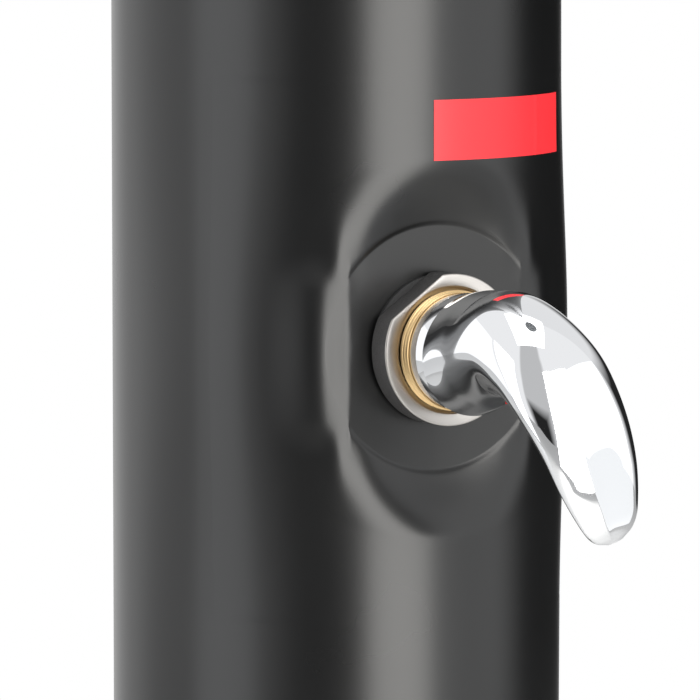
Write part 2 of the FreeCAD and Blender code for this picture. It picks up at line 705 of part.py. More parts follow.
def make_cartridge():
    """Cartridge: housing, two ceramic discs, turning carrier, tilt pin, stem and nut."""
    foot = size.fit / 2 - size.cartridge_depth
    floor = foot + size.chamber_floor
    housing = turned("Housing", [
        (ZERO, foot), (size.cartridge_radius, foot), (size.cartridge_radius, size.shoulder_offset),
        (size.collar_radius, size.shoulder_offset), (size.collar_radius, size.collar_end),
        (size.guide_radius, size.collar_end), (size.guide_radius, size.chamber_end),
        (size.chamber_radius, size.chamber_end), (size.chamber_radius, floor), (ZERO, floor)])
    water_holes(housing, 90)
    keep("cartridge_housing", in_mixer(housing))

    disc_low = floor + size.running_fit
    disc_high = disc_low + size.disc_thickness
    fixed = ring("FixedDisc", size.chamber_radius - size.fit, ZERO, disc_low, disc_high)
    water_holes(fixed, 90)
    keep("fixed_disc", in_mixer(fixed))

    moving_low = disc_high + size.running_fit
    moving_high = moving_low + size.disc_thickness
    driver_high = moving_high + size.driver_height
    driver_edge = size.driver_radius + size.round_edge
    moving = turned("MovingDisc", [
        (ZERO, moving_low), (size.moving_disc_radius, moving_low),
        (size.moving_disc_radius, moving_high), (driver_edge, moving_high),
        (driver_edge, driver_high), (ZERO, driver_high)])
    sketch = circle_sketch(moving, "Socket", size.driver_socket, ZERO, -size.moving_disc_rest)
    raise_sketch(sketch, moving_high - size.driver_sink)
    socket = moving.newObject("PartDesign::Pocket", "SocketPocket")
    socket.Profile = sketch
    socket.Reversed = True
    bind(socket, Length=size.driver_height + size.driver_sink + size.edge)
    keep("moving_disc", in_lever(moving, up=size.moving_disc_rest))

    carrier = turned("Carrier", [
        (ZERO, size.carrier_foot_start), (size.carrier_foot_radius, size.carrier_foot_start),
        (size.carrier_foot_radius, size.carrier_foot_start + size.carrier_foot_height),
        (size.guide_radius - size.running_fit, size.carrier_foot_start + size.carrier_foot_height),
        (size.guide_radius - size.running_fit, size.carrier_end), (ZERO, size.carrier_end)])
    half_slot = size.stem_width / 2 + size.fit
    slot = outline(carrier, "XY_Plane", [
        (-half_slot, -size.carrier_slot_length / 2), (half_slot, -size.carrier_slot_length / 2),
        (half_slot, size.carrier_slot_length / 2), (-half_slot, size.carrier_slot_length / 2)],
        "SlotProfile")
    pocket = carrier.newObject("PartDesign::Pocket", "Slot")
    pocket.Profile = slot
    pocket.Type = "ThroughAll"
    pocket.Midplane = True
    pin_hole(carrier, size.pin_radius + size.pin_fit)
    keep("spindle_carrier", in_lever(carrier))

    pin = turned("TiltPin", [(ZERO, -size.pin_length / 2), (size.pin_radius, -size.pin_length / 2),
                             (size.pin_radius, size.pin_length / 2), (ZERO, size.pin_length / 2)])
    lever_axis = FRONT.multiply(Rotation(Z_AXIS, float(size.lever_turn)))
    keep("tilt_pin", seat(pin, y=seat_y - size.pivot_offset, z=size.mixer_height,
                          turn=lever_axis.multiply(RIGHT)))

    stem = turned("Stem", [
        (ZERO, size.stem_ball_offset), (size.stem_arm_radius, size.stem_ball_offset),
        (size.stem_arm_radius, size.stem_start + size.edge), (ZERO, size.stem_start + size.edge)])
    half_stem = size.stem_width / 2
    square = outline(stem, "XY_Plane", [
        (-half_stem, -half_stem), (half_stem, -half_stem), (half_stem, half_stem),
        (-half_stem, half_stem)], "SquareProfile")
    raise_sketch(square, size.stem_start)
    pad = stem.newObject("PartDesign::Pad", "Square")
    pad.Profile = square
    bind(pad, Length=size.stem_end - size.stem_start)
    pin_hole(stem, size.pin_radius + size.running_fit)
    in_lever(stem)
    tip = ball("StemBall", size.stem_ball_radius, y=seat_y - size.stem_ball_offset,
               z=size.mixer_height)
    keep("spindle", fuse("Spindle", stem, tip))

    nut_low = size.shoulder_offset + size.fit * 1.5
    flange_low = size.neck_end + size.fit / 2
    flange_high = flange_low + size.cap_nut_thickness
    bore = size.collar_radius + size.fit
    keep("cartridge_nut", in_mixer(turned("CartridgeNut", [
        (bore, nut_low), (size.cap_nut_thread, nut_low), (size.cap_nut_thread, flange_low),
        (size.cap_nut_radius, flange_low), (size.cap_nut_radius, flange_high),
        (size.cap_nut_spigot, flange_high), (size.cap_nut_spigot, size.cap_nut_spigot_end),
        (bore, size.cap_nut_spigot_end)])))


def water_holes(body, first_angle):
    """Three water holes through a floor or a disc."""
    angle = math.radians(first_angle)
    hole = drill(body, size.inlet_hole_radius, size.inlet_hole_circle * round(math.cos(angle), 6),
                 size.inlet_hole_circle * round(math.sin(angle), 6), "WaterHole")
    repeat(body, hole, WATER_HOLES, "WaterHoles")


def pin_hole(body, radius):
    """The tilt pin's cross hole, along the body's X at the pivot's height."""
    sketch = body.newObject("Sketcher::SketchObject", "PinSketch")
    sketch.AttachmentSupport = (plane_of(body, "YZ_Plane"), [""])
    sketch.MapMode = "FlatFace"
    centre = Vector(0, float(size.pivot_offset), 0)
    sketch.addGeometry(Part.Circle(centre, Z_AXIS, float(radius)), False)
    sketch.addConstraint(Sketcher.Constraint("PointOnObject", 0, 3, -2))
    number = sketch.addConstraint(
        Sketcher.Constraint("DistanceY", -1, 1, 0, 3, float(size.pivot_offset)))
    sketch.setExpression("Constraints[%d]" % number, size.pivot_offset.text)
    number = sketch.addConstraint(Sketcher.Constraint("Radius", 0, float(radius)))
    sketch.setExpression("Constraints[%d]" % number, as_size(radius).text)
    pocket = body.newObject("PartDesign::Pocket", "PinHole")
    pocket.Profile = sketch
    pocket.Type = "ThroughAll"
    pocket.Midplane = True


def in_lever(item, up=ZERO):
    """Seat a piece in the lever's frame, turned with the lever about the mixer's axis."""
    angle = math.radians(float(size.lever_turn))
    up = as_size(up)
    return seat(item, -(up * math.sin(angle)) if up.number else ZERO, seat_y,
                size.mixer_height + up * math.cos(angle),
                FRONT.multiply(Rotation(Z_AXIS, float(size.lever_turn))))


def make_trim_dome():
    """Chromed dome over the cartridge nut, a zone of a sphere about the tilt pin."""
    outside = size.dome_radius + size.round_edge
    blank = in_mixer(turned("TrimDomeBlank", [
        (size.cap_nut_spigot + size.fit, size.dome_start), (outside, size.dome_start),
        (outside, size.dome_end), (size.dome_opening, size.dome_end),
        (size.dome_opening, size.dome_end - size.round_edge),
        (size.cap_nut_spigot + size.fit, size.cap_nut_spigot_end + size.fit)]))
    keep("trim_dome", common("TrimDome", blank, ball(
        "TrimSphere", size.dome_radius, y=seat_y - size.pivot_offset, z=size.mixer_height)))


def make_lever():
    """Cast lever: a round dome that arches outwards and down into a broad thin paddle."""
    turn = Rotation(Z_AXIS, float(size.lever_turn))
    sections = []
    for number, (out, drop, thick, wide, angle) in enumerate(LEVER_SECTIONS):
        ellipse = doc.addObject("Part::Ellipse", "LeverSection%d" % number)
        bind(ellipse, MajorRadius=size.lever_rim_radius * wide)
        bind(ellipse, MinorRadius=size.lever_rim_radius * thick)
        down = size.lever_drop * drop
        radians = math.radians(float(size.lever_turn))
        seat(ellipse, down * math.sin(radians),
             seat_y - size.lever_start - size.lever_reach * out,
             size.mixer_height - down * math.cos(radians),
             FRONT.multiply(turn).multiply(Rotation(X_AXIS, angle)))
        sections.append(ellipse)
    loft = doc.addObject("Part::Loft", "LeverArch")
    loft.Sections = sections
    loft.Solid = True
    loft.Ruled = False
    socket = in_lever(square_bar("LeverSocket", size.stem_width + size.fit,
                                 size.dome_radius, size.stem_end + size.fit))
    screw_hole = lever_rod("LeverScrewHole", size.lever_screw_radius + size.fit / 4,
                           ZERO, size.index_reach + size.round_edge)
    plug_hole = lever_rod("IndexHole", size.index_radius + size.fit / 4,
                          size.index_reach - size.index_depth - size.fit, size.lever_rim_radius)
    hollow = ball("LeverHollow", size.dome_radius + size.free_gap,
                  y=seat_y - size.pivot_offset, z=size.mixer_height)
    keep("lever_handle", cut("LeverHandle", loft, hollow, socket, screw_hole, plug_hole))
    screw_start = size.stem_width / 2 + size.fit / 2
    keep("handle_screw", lever_rod("HandleScrew", size.lever_screw_radius, screw_start,
                                   size.lever_screw_length))
    keep("index_plug", lever_rod("IndexPlug", size.index_radius,
                                 size.index_reach - size.index_depth, size.index_depth))


def square_bar(name, side, low, high):
    """A square bar about the body's Z."""
    body = doc.addObject("PartDesign::Body", name)
    half = side / 2
    sketch = outline(body, "XY_Plane", [(-half, -half), (half, -half), (half, half), (-half, half)])
    raise_sketch(sketch, low)
    pad = body.newObject("PartDesign::Pad", "Bar")
    pad.Profile = sketch
    bind(pad, Length=high - low)
    return body


def lever_rod(name, radius, start, length):
    """A round bar across the lever, from the stem's axis towards the lever's tip."""
    start = as_size(start)
    angle = math.radians(float(size.lever_turn))
    across = FRONT.multiply(Rotation(Z_AXIS, float(size.lever_turn))).multiply(
        Rotation(X_AXIS, 90))
    return rod(name, radius, length, start * math.sin(angle),
               seat_y - size.lever_screw_offset,
               size.mixer_height - start * math.cos(angle), across)


def make_wall_seals(label, height, direction):
    """Saddle gaskets each side of the tube's wall and the locknut inside."""
    sign = -1 if direction is FRONT else 1
    bore = size.shank_radius + size.fit
    outer = seat(ring(label + "OuterRing", size.saddle_radius, bore,
                      size.tank_radius - size.saddle_sink, size.saddle_face),
                 z=height, turn=direction)
    tank = rod(label + "Outside", size.tank_radius + size.fit / 4, size.saddle_reach * 2,
               z=height - size.saddle_reach)
    keep(label + "_outer_gasket", cut(label + "OuterGasket", outer, tank))
    inner = seat(ring(label + "InnerRing", size.saddle_radius, bore, size.saddle_inner_face,
                      size.tank_radius), z=height, turn=direction)
    inside = rod(label + "Inside", tank_bore - size.fit / 4, size.saddle_reach * 2,
                 z=height - size.saddle_reach)
    keep(label + "_inner_gasket", common(label + "InnerGasket", inner, inside))
    thread = rod(label + "Thread", size.shank_radius + size.running_fit, size.tank_radius,
                 y=size.shank_start * sign, z=height, turn=direction)
    blank = prism(label + "Hexagon", size.locknut_radius, size.locknut_thickness)
    start = size.saddle_inner_face - size.fit / 2 - size.locknut_thickness
    seat(blank, y=start * sign, z=height, turn=direction)
    keep(label + "_locknut", cut(label + "Locknut", blank, thread))


def make_inlet():
    """Water inlet at the back: a brass fitting with a hose thread."""
    collar_low = size.saddle_face + size.fit / 4
    collar_high = collar_low + size.collar_thickness
    end = collar_high + size.hose_thread_length
    make_wall_seals("inlet", size.inlet_height, BACK)
    keep("inlet_fitting", seat(turned("InletFitting", [
        (size.shank_bore, size.shank_start), (size.shank_radius, size.shank_start),
        (size.shank_radius, collar_low), (size.collar_width, collar_low),
        (size.collar_width, collar_high), (size.hose_thread_radius, collar_high),
        (size.hose_thread_radius, end - size.edge), (size.hose_thread_radius - size.edge, end),
        (size.shank_bore + size.round_edge, end), (size.shank_bore, end - size.round_edge * 2)]),
        z=size.inlet_height, turn=BACK))


def make_drain():
    """Winter drain at the front: a fitting closed by a ribbed screw cap."""
    collar_low = size.saddle_face + size.fit / 4
    collar_high = collar_low + size.collar_thickness
    end = collar_high + size.drain_thread_length
    inner_end = size.saddle_inner_face - size.locknut_thickness - size.drain_shank_rest
    make_wall_seals("drain", size.drain_height, FRONT)
    keep("drain_fitting", seat(turned("DrainFitting", [
        (size.shank_bore, inner_end), (size.shank_radius, inner_end),
        (size.shank_radius, collar_low), (size.collar_width, collar_low),
        (size.collar_width, collar_high), (size.hose_thread_radius, collar_high),
        (size.hose_thread_radius, end), (size.shank_bore, end)]),
        z=size.drain_height, turn=FRONT))
    seal_high = end + size.fit / 2 + size.drain_seal_thickness
    keep("drain_seal", seat(ring("DrainSeal", size.hose_thread_radius - size.fit, ZERO,
                                 end + size.fit / 4, seal_high),
                            z=size.drain_height, turn=FRONT))
    cap_low = collar_high + size.edge
    cap_floor = seal_high + size.fit / 4
    cap_end = cap_floor + size.drain_cap_floor
    cap = turned("DrainCap", [
        (size.hose_thread_radius + size.running_fit, cap_low), (size.drain_cap_radius, cap_low),
        (size.drain_cap_radius, cap_end - size.round_edge),
        (size.drain_cap_radius - size.round_edge, cap_end),
        (ZERO, cap_end), (ZERO, cap_floor),
        (size.hose_thread_radius + size.running_fit, cap_floor)])
    groove = drill(cap, size.grip_groove_radius,
                   size.drain_cap_radius + size.grip_groove_offset, ZERO, "GripGroove")
    repeat(cap, groove, DRAIN_GRIPS, "GripGrooves")
    keep("drain_cap", seat(cap, z=size.drain_height, turn=FRONT))


def make_tee():
    """Brass tee on the inlet: cold hose upwards, backflow valve into the tank downwards."""
    socket = size.shank_radius + size.running_fit
    inner = size.shank_start - size.fit
    branch_end = size.saddle_inner_face - size.locknut_thickness - size.fit * 2
    upright_top = size.inlet_height + size.tee_half_height
    stub_top = upright_top + size.tee_stub_length
    upright_low = size.inlet_height - size.tee_half_height
    branch = rod("TeeBranch", size.tee_radius + size.tee_wall, branch_end - size.tee_distance,
                 y=size.tee_distance, z=size.inlet_height, turn=BACK)
    upright = rod("TeeUpright", size.tee_radius, size.tee_half_height * 2,
                  y=size.tee_distance, z=upright_low)
    stub = rod("TeeStub", size.port_radius, size.tee_stub_length,
               y=size.tee_distance, z=upright_top)
    solid = fuse("TeeBody", branch, upright, stub)
    tools = [
        rod("TeeSocket", socket, size.tee_half_height, y=inner, z=size.inlet_height, turn=BACK),
        rod("TeeBranchBore", size.shank_bore, size.tee_half_height * 2, y=size.tee_distance,
            z=size.inlet_height, turn=BACK),
        rod("TeeBore", size.port_bore, stub_top - upright_low + size.overrun * 2,
            y=size.tee_distance, z=upright_low - size.overrun),
        rod("TeeValveSeat", size.tee_radius - size.tee_wall, size.valve_seat,
            y=size.tee_distance, z=upright_low)]
    keep("cold_tee", cut("ColdTee", solid, *tools))

    valve_radius = size.tee_radius - size.tee_wall - size.fit
    top = upright_low + size.valve_seat - size.fit
    sections = []
    for number, (height, wide, thick) in enumerate((
            (top, 1, 1), (top - size.valve_seat, 1, 1), (top - size.valve_length, *VALVE_LIPS))):
        ellipse = doc.addObject("Part::Ellipse", "ValveSection%d" % number)
        bind(ellipse, MajorRadius=valve_radius * wide)
        bind(ellipse, MinorRadius=valve_radius * thick)
        sections.append(seat(ellipse, y=size.tee_distance, z=height))
    loft = doc.addObject("Part::Loft", "ValveLoft")
    loft.Sections = sections
    loft.Solid = True
    loft.Ruled = True
    keep("backflow_valve", loft)
    return stub_top


def bent_wire(points, radii):
    """Straight runs joined by tangent arcs, one arc at each inner point."""
    edges = []
    start = points[0]
    for before, corner, after, radius in zip(points, points[1:], points[2:], radii):
        back = (before - corner).normalize()
        on = (after - corner).normalize()
        half = back.getAngle(on) / 2
        reach = radius / math.tan(half)
        entry = corner + back * reach
        leave = corner + on * reach
        middle = corner + (back + on).normalize() * (radius / math.sin(half) - radius)
        edges.append(Part.LineSegment(start, entry).toShape())
        edges.append(Part.Arc(entry, middle, leave).toShape())
        start = leave
    edges.append(Part.LineSegment(start, points[-1]).toShape())
    return Part.Wire(edges)


def tube_along(wire, radius):
    """A round bar swept along a wire."""
    direction = wire.OrderedEdges[0].tangentAt(wire.OrderedEdges[0].FirstParameter)
    start = wire.OrderedVertexes[0].Point
    circle = Part.Wire(Part.Circle(start, direction, float(radius)).toShape())
    return wire.makePipeShell([circle], True, True)


def bent_tube(label, points, radii, outer, bore):
    """A bent tube as one shape worked out from the sheet's sizes."""
    wire = bent_wire(points, radii)
    solid = tube_along(wire, outer)
    if bore is not None:
        solid = solid.cut(tube_along(wire, bore))
    item = doc.addObject("Part::Feature", label)
    item.Shape = solid
    length = wire.Length
    section = math.pi * (float(outer) ** 2 - (float(bore) ** 2 if bore is not None else 0))
    print("%s: length %.1f, radii %s, volume share %.4f" % (
        label, length, [round(r, 1) for r in radii], solid.Volume / (section * length)))
    return item


def make_hoses(tee_top):
    """Cold and mixed hoses, the hot pipe with its elbow, and their union nuts."""
    low = tee_top + size.fit
    high = cold_port_low - size.fit
    span = (high - low) / 3
    tee_y = float(size.tee_distance)
    points = [Vector(0, tee_y, float(low)), Vector(0, tee_y, float(low + span)),
              Vector(0, float(port_y), float(high - span)), Vector(0, float(port_y), float(high))]
    turn = (points[1] - points[0]).getAngle(points[2] - points[1])
    radius = HOSE_BEND_SHARE * float(span) / math.tan(turn / 2)
    keep("cold_hose", bent_tube("ColdHose", points, [radius, radius], size.hose_radius,
                                size.hose_radius - size.hose_wall))

    mixed_low = mixed_port_top + size.fit
    mixed_high = arm_height - size.port_reach - size.fit
    keep("mixed_hose", pipe("MixedHose", ZERO, mixed_low, mixed_high - mixed_low))

    elbow_top = size.mixer_height + size.port_reach
    arm_low = size.port_reach - size.elbow_overlap
    body = fuse("ElbowBody",
                rod("ElbowArm", size.elbow_radius, size.elbow_reach - arm_low,
                    arm_low, port_y, size.mixer_height, RIGHT),
                rod("ElbowLeg", size.elbow_radius, size.port_reach,
                    size.elbow_reach, port_y, size.mixer_height),
                ball("ElbowHeel", size.elbow_radius, size.elbow_reach, port_y, size.mixer_height))
    stub_gap = size.port_radius + size.running_fit
    keep("hot_elbow", cut(
        "HotElbow", body,
        rod("ElbowSocket", stub_gap, size.elbow_socket,
            size.port_reach - size.elbow_socket + size.fit, port_y,
            size.mixer_height, RIGHT),
        rod("ElbowBore", size.port_bore, size.elbow_reach, ZERO, port_y,
            size.mixer_height, RIGHT),
        rod("ElbowRise", size.port_bore, size.port_reach + size.overrun, size.elbow_reach, port_y,
            size.mixer_height),
        rod("ElbowPipeSocket", size.hose_radius + size.running_fit, size.elbow_socket,
            size.elbow_reach, port_y, elbow_top - size.elbow_pipe_depth)))
    pipe_low = elbow_top - size.elbow_pipe_depth + size.fit
    keep("hot_pipe", pipe("HotPipe", size.elbow_reach, pipe_low,
                          tube_high - size.hot_pipe_margin - pipe_low))

    nuts = []
    for number, (y, z, turn) in enumerate((
            (size.tee_distance, tee_top, UP), (port_y, cold_port_low, DOWN),
            (port_y, mixed_port_top, UP), (port_y, arm_height - size.port_reach, DOWN))):
        floor_low = size.fit
        body = turned("Union%d" % number, [
            (size.port_radius + size.running_fit, floor_low - size.union_length
             + size.union_floor),
            (size.union_radius, floor_low - size.union_length + size.union_floor),
            (size.union_radius, floor_low + size.union_floor),
            (size.hose_radius + size.running_fit, floor_low + size.union_floor),
            (size.hose_radius + size.running_fit, floor_low),
            (size.port_radius + size.running_fit, floor_low)])
        nuts.append(seat(body, y=y, z=z, turn=turn))
    keep("hose_unions", group("HoseUnions", nuts))


def pipe(name, x, low, length):
    """An upright pipe in the plane of the mixer's ports."""
    outer = rod(name + "Outside", size.hose_radius, length, x, port_y, low)
    inner = rod(name + "Inside", size.hose_radius - size.hose_wall,
                length + size.overrun * 2, x, port_y, low - size.overrun)
    return cut(name, outer, inner)


def make_arm():
    """Overhead arm: elbow inside the tank, cover, and a bent chromed tube."""
    make_wall_seals("arm", arm_height, FRONT)
    elbow_end = size.arm_start + size.arm_overlap
    elbow = fuse("ArmElbowBody",
                 rod("ArmElbowShank", size.shank_radius, elbow_end + port_y,
                     y=port_y, z=arm_height, turn=FRONT),
                 ball("ArmElbowHeel", size.shank_radius, y=port_y, z=arm_height),
                 rod("ArmElbowStub", size.port_radius, size.port_reach,
                     y=port_y, z=arm_height, turn=DOWN))
    keep("arm_elbow", cut(
        "ArmElbow", elbow,
        rod("ArmElbowBore", size.port_bore, elbow_end, y=port_y, z=arm_height, turn=FRONT),
        rod("ArmElbowDrop", size.port_bore, size.port_reach + size.overrun, y=port_y, z=arm_height,
            turn=DOWN)))

    nut_low = size.saddle_face + size.fit / 4
    nut = prism("ArmOuterHexagon", size.locknut_radius, size.locknut_thickness)
    seat(nut, y=-nut_low, z=arm_height, turn=FRONT)
    keep("arm_outer_nut", cut("ArmOuterNut", nut, rod(
        "ArmOuterThread", size.shank_radius + size.running_fit, size.tank_radius,
        y=-size.shank_start,
        z=arm_height, turn=FRONT)))

    hollow = size.rosette_radius - size.rosette_wall
    cover = seat(turned("Rosette", [
        (hollow, size.shank_start), (size.rosette_radius, size.shank_start),
        (size.rosette_radius, size.rosette_face - size.rosette_bevel),
        (size.rosette_radius - size.rosette_bevel, size.rosette_face),
        (size.arm_radius + size.fit, size.rosette_face),
        (size.arm_radius + size.fit, size.rosette_face - size.rosette_wall),
        (hollow - size.rosette_bevel + size.edge, size.rosette_face - size.rosette_wall),
        (hollow, size.rosette_face - size.rosette_bevel - size.edge)]),
        z=arm_height, turn=FRONT)
    keep("arm_rosette", cut("ArmRosette", cover, rod(
        "RosetteTank", size.tank_radius + size.fit, size.rosette_radius * 4,
        z=arm_height - size.rosette_radius * 2)))

    centre = float(arm_height)
    points = [Vector(0, -float(size.arm_start), centre), Vector(0, -float(size.arm_reach), centre),
              Vector(0, -float(size.arm_reach), float(arm_end))]
    keep("overhead_arm", bent_tube("OverheadArm", points, [float(size.arm_bend_radius)],
                                   size.arm_radius, size.arm_bore))


def make_ball_joint():
    """Ball joint under the arm: socket, seal ring, holding nut and the ball piece."""
    ball_y = -size.arm_reach
    cavity = size.ball_radius + size.free_gap
    spigot_top = arm_end + size.ball_spigot
    socket_low = ball_height + size.socket_mouth
    socket = seat(turned("BallSocketBlank", [
        (size.port_bore, socket_low), (size.socket_collar_radius, socket_low),
        (size.socket_collar_radius, arm_end - size.fit), (size.shank_radius, arm_end - size.fit),
        (size.shank_radius, spigot_top), (size.port_bore, spigot_top)]), y=ball_y)
    rise = root((cavity + size.ball_seal_wire) * (cavity + size.ball_seal_wire)
                - size.ball_seal_radius * size.ball_seal_radius)
    groove = seat(bind(doc.addObject("Part::Torus", "BallSealGroove"),
                       Radius1=size.ball_seal_radius, Radius2=size.ball_seal_wire + size.fit / 2),
                  y=ball_y, z=ball_height + rise)
    keep("ball_socket", cut("BallSocket", socket,
                            ball("SocketCavity", cavity, y=ball_y, z=ball_height), groove))
    keep("ball_seal", seat(bind(doc.addObject("Part::Torus", "BallSeal"),
                                Radius1=size.ball_seal_radius, Radius2=size.ball_seal_wire),
                           y=ball_y, z=ball_height + rise))
    thread = size.socket_collar_radius + size.running_fit
    lip = ball_height - size.ball_nut_lip
    mouth = size.ball_radius - size.round_edge
    nut = seat(turned("BallNutBlank", [
        (mouth, lip), (size.ball_nut_radius - size.round_edge, lip),
        (size.ball_nut_radius, lip + size.round_edge),
        (size.ball_nut_radius, arm_end - size.round_edge),
        (size.ball_nut_radius - size.edge, arm_end - size.edge), (thread, arm_end - size.edge),
        (thread, socket_low - size.fit), (mouth, socket_low - size.fit)]), y=ball_y)
    keep("ball_nut", cut("BallNut", nut,
                         ball("NutCavity", cavity, y=ball_y, z=ball_height)))

    thread_low = head_top - size.head_thread_length + size.head_boss_height
    collar = size.shank_radius + size.round_edge
    thread_high = thread_low + size.head_thread_length
    stem = seat(turned("BallPieceStem", [
        (size.ball_bore, thread_low), (size.shank_radius, thread_low),
        (size.shank_radius, thread_high - size.edge / 2), (collar, thread_high - size.edge / 2),
        (collar, thread_high + size.round_edge),
        (size.ball_neck_radius, thread_high + size.head_cone),
        (size.ball_neck_radius, ball_height), (size.ball_bore, ball_height)]), y=ball_y)
    solid = fuse("BallPieceBody", stem, ball("JointBall", size.ball_radius, y=ball_y,
                                             z=ball_height))
    keep("ball_piece", cut("BallPiece", solid, rod(
        "BallPieceBore", size.ball_bore, size.head_drop * 2, y=ball_y,
        z=thread_low - size.overrun)))


def make_head():
    """Rain head: shell with a threaded boss, ring gasket and a spray plate with nipples."""
    head_y = -size.arm_reach
    rim_low = head_top - size.head_height
    inside = size.head_radius - size.head_wall
    roof = head_top - size.head_wall
    boss_top = head_top + size.head_boss_height - size.edge
    thread = size.shank_radius + size.running_fit
    bottom = rim_low + size.plate_inset
    plate_high = bottom + size.head_face_thickness
    keep("head_shell", seat(turned("HeadShell", [
        (inside, rim_low), (size.head_radius, rim_low),
        (size.head_radius, head_top - size.head_bevel),
        (size.head_radius - size.head_bevel, head_top),
        (size.head_boss_radius + size.head_cone_width, head_top + size.round_edge),
        (size.head_boss_radius, head_top + size.head_cone), (size.head_boss_radius, boss_top),
        (thread, boss_top), (thread, roof), (inside - size.head_cone_width, roof),
        (inside, roof - size.head_corner)]),
        y=head_y))

    gasket_high = plate_high + size.fit / 4 + size.head_gasket_thickness
    keep("head_gasket", seat(ring("HeadGasket", inside - size.fit,
                                  inside - size.fit - size.head_gasket_width,
                                  plate_high + size.fit / 4, gasket_high), y=head_y))

    plate = ring("SprayPlate", inside - size.fit, ZERO, bottom, plate_high)
    for ring_number in NOZZLE_RINGS:
        sketch = circle_sketch(plate, "NippleRing%d" % ring_number, size.nozzle_radius,
                               size.nozzle_ring_step * ring_number, ZERO)
        raise_sketch(sketch, bottom + size.edge)
        nipple = plate.newObject("PartDesign::Pad", "Nipple%d" % ring_number)
        nipple.Profile = sketch
        nipple.Reversed = True
        bind(nipple, Length=size.nozzle_height + size.edge)
        repeat(plate, nipple, NOZZLES_PER_RING * ring_number, "Nipples%d" % ring_number)
    keep("spray_plate", seat(plate, y=head_y))


def check_and_write():
    """Recompute, look for failed objects, then write each sub-part."""
    doc.recompute()
    for item in doc.Objects:
        if "Invalid" in item.State or "Error" in item.State:
            raise RuntimeError("%s (%s) failed: %s" % (item.Name, item.Label, item.State))
    os.makedirs("parts", exist_ok=True)
    for label, item in parts.items():
        shape = item.Shape
        if shape.isNull() or not shape.isValid() or not shape.Solids:
            raise RuntimeError("%s has no valid solid" % label)
    for label, item in parts.items():
        item.Shape.exportStep("parts/%s.step" % label)
        print("%-22s %d solids, %.1f mm3" % (label, len(item.Shape.Solids), item.Shape.Volume))


make_foot()
make_foot_screws()
make_caps()
make_tank()
make_mixer_fixing()
make_mixer_body()
make_cartridge()
make_trim_dome()
make_lever()
make_inlet()
make_drain()
make_hoses(make_tee())
make_arm()
make_ball_joint()
make_head()
check_and_write()
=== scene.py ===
"""Looks of the outdoor shower post: a semi-gloss black tank tube with a pressed flat seat, a
single-lever mixer in polished chrome on it, a foot, and an overhead arm with a rain head.

Metres, in the row frame.  +Z is up and -Y is the front, where the lever is.
"""
import json
import math

import bpy
import numpy as np
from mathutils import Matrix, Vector


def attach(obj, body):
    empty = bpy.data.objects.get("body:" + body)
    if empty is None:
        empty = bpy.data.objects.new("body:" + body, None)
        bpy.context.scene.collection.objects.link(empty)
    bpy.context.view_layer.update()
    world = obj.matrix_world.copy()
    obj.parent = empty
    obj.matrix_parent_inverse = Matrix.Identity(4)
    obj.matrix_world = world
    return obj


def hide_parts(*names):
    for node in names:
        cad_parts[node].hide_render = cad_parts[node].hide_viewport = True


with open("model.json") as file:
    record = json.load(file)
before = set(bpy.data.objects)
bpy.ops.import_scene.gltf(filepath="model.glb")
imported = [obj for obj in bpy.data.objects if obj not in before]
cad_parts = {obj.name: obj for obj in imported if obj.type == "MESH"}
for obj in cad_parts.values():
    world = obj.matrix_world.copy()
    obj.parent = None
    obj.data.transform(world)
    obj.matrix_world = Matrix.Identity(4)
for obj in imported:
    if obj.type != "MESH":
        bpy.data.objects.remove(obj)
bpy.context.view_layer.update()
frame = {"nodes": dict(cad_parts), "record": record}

bl_info = {
    "name": "Outdoor shower post",
    "version": (1, 0, 0),
    "blender": (4, 5, 0),
    "location": "3D View > Sidebar > Shower post",
    "description": "Builds the outdoor shower post's finished pieces round its CAD frame",
    "category": "Object",
}

MM = 0.001
TURN = 2 * math.pi
MIXER_HEIGHT = 1.150


# ---------------------------------------------------------------- settings

def length(name, description, default, low=0.0, high=5.0):
    """A length property in metres."""
    return bpy.props.FloatProperty(name=name, description=description, default=default,
                                   min=low, max=high, unit="LENGTH", precision=5)


def share(name, description, default, low=0.0, high=1.0):
    """A plain number property."""
    return bpy.props.FloatProperty(name=name, description=description, default=default,
                                   min=low, max=high)


def turning(name, description, default):
    """An angle property, in radians."""
    return bpy.props.FloatProperty(name=name, description=description, default=default,
                                   subtype="ANGLE")


def tint(name, description, default):
    """A colour property, linear."""
    return bpy.props.FloatVectorProperty(name=name, description=description, default=default,
                                         min=0.0, max=1.0, size=3, subtype="COLOR")


class StageSettings(bpy.types.PropertyGroup):
    """Camera and floor."""
    camera_azimuth: turning("Camera azimuth", "Camera's angle round the post, from the front",
                            math.radians(-29))
    camera_elevation: turning("Camera elevation", "How far the camera looks down",
                              math.radians(5.5))
    camera_distance: length("Camera distance", "Camera to the tank's axis", 2.2)
    frame_width: length("Frame width", "Width of the picture at the tank's axis", 0.2504)
    aim_height: length("Aim height", "Height that the camera looks at", 1.143)
    aim_right: length("Aim right", "How far to the right of the tank the camera looks", 0.0049)
    floor_size: length("Floor size", "Side of the pale floor", 9.0, 1.0, 50.0)


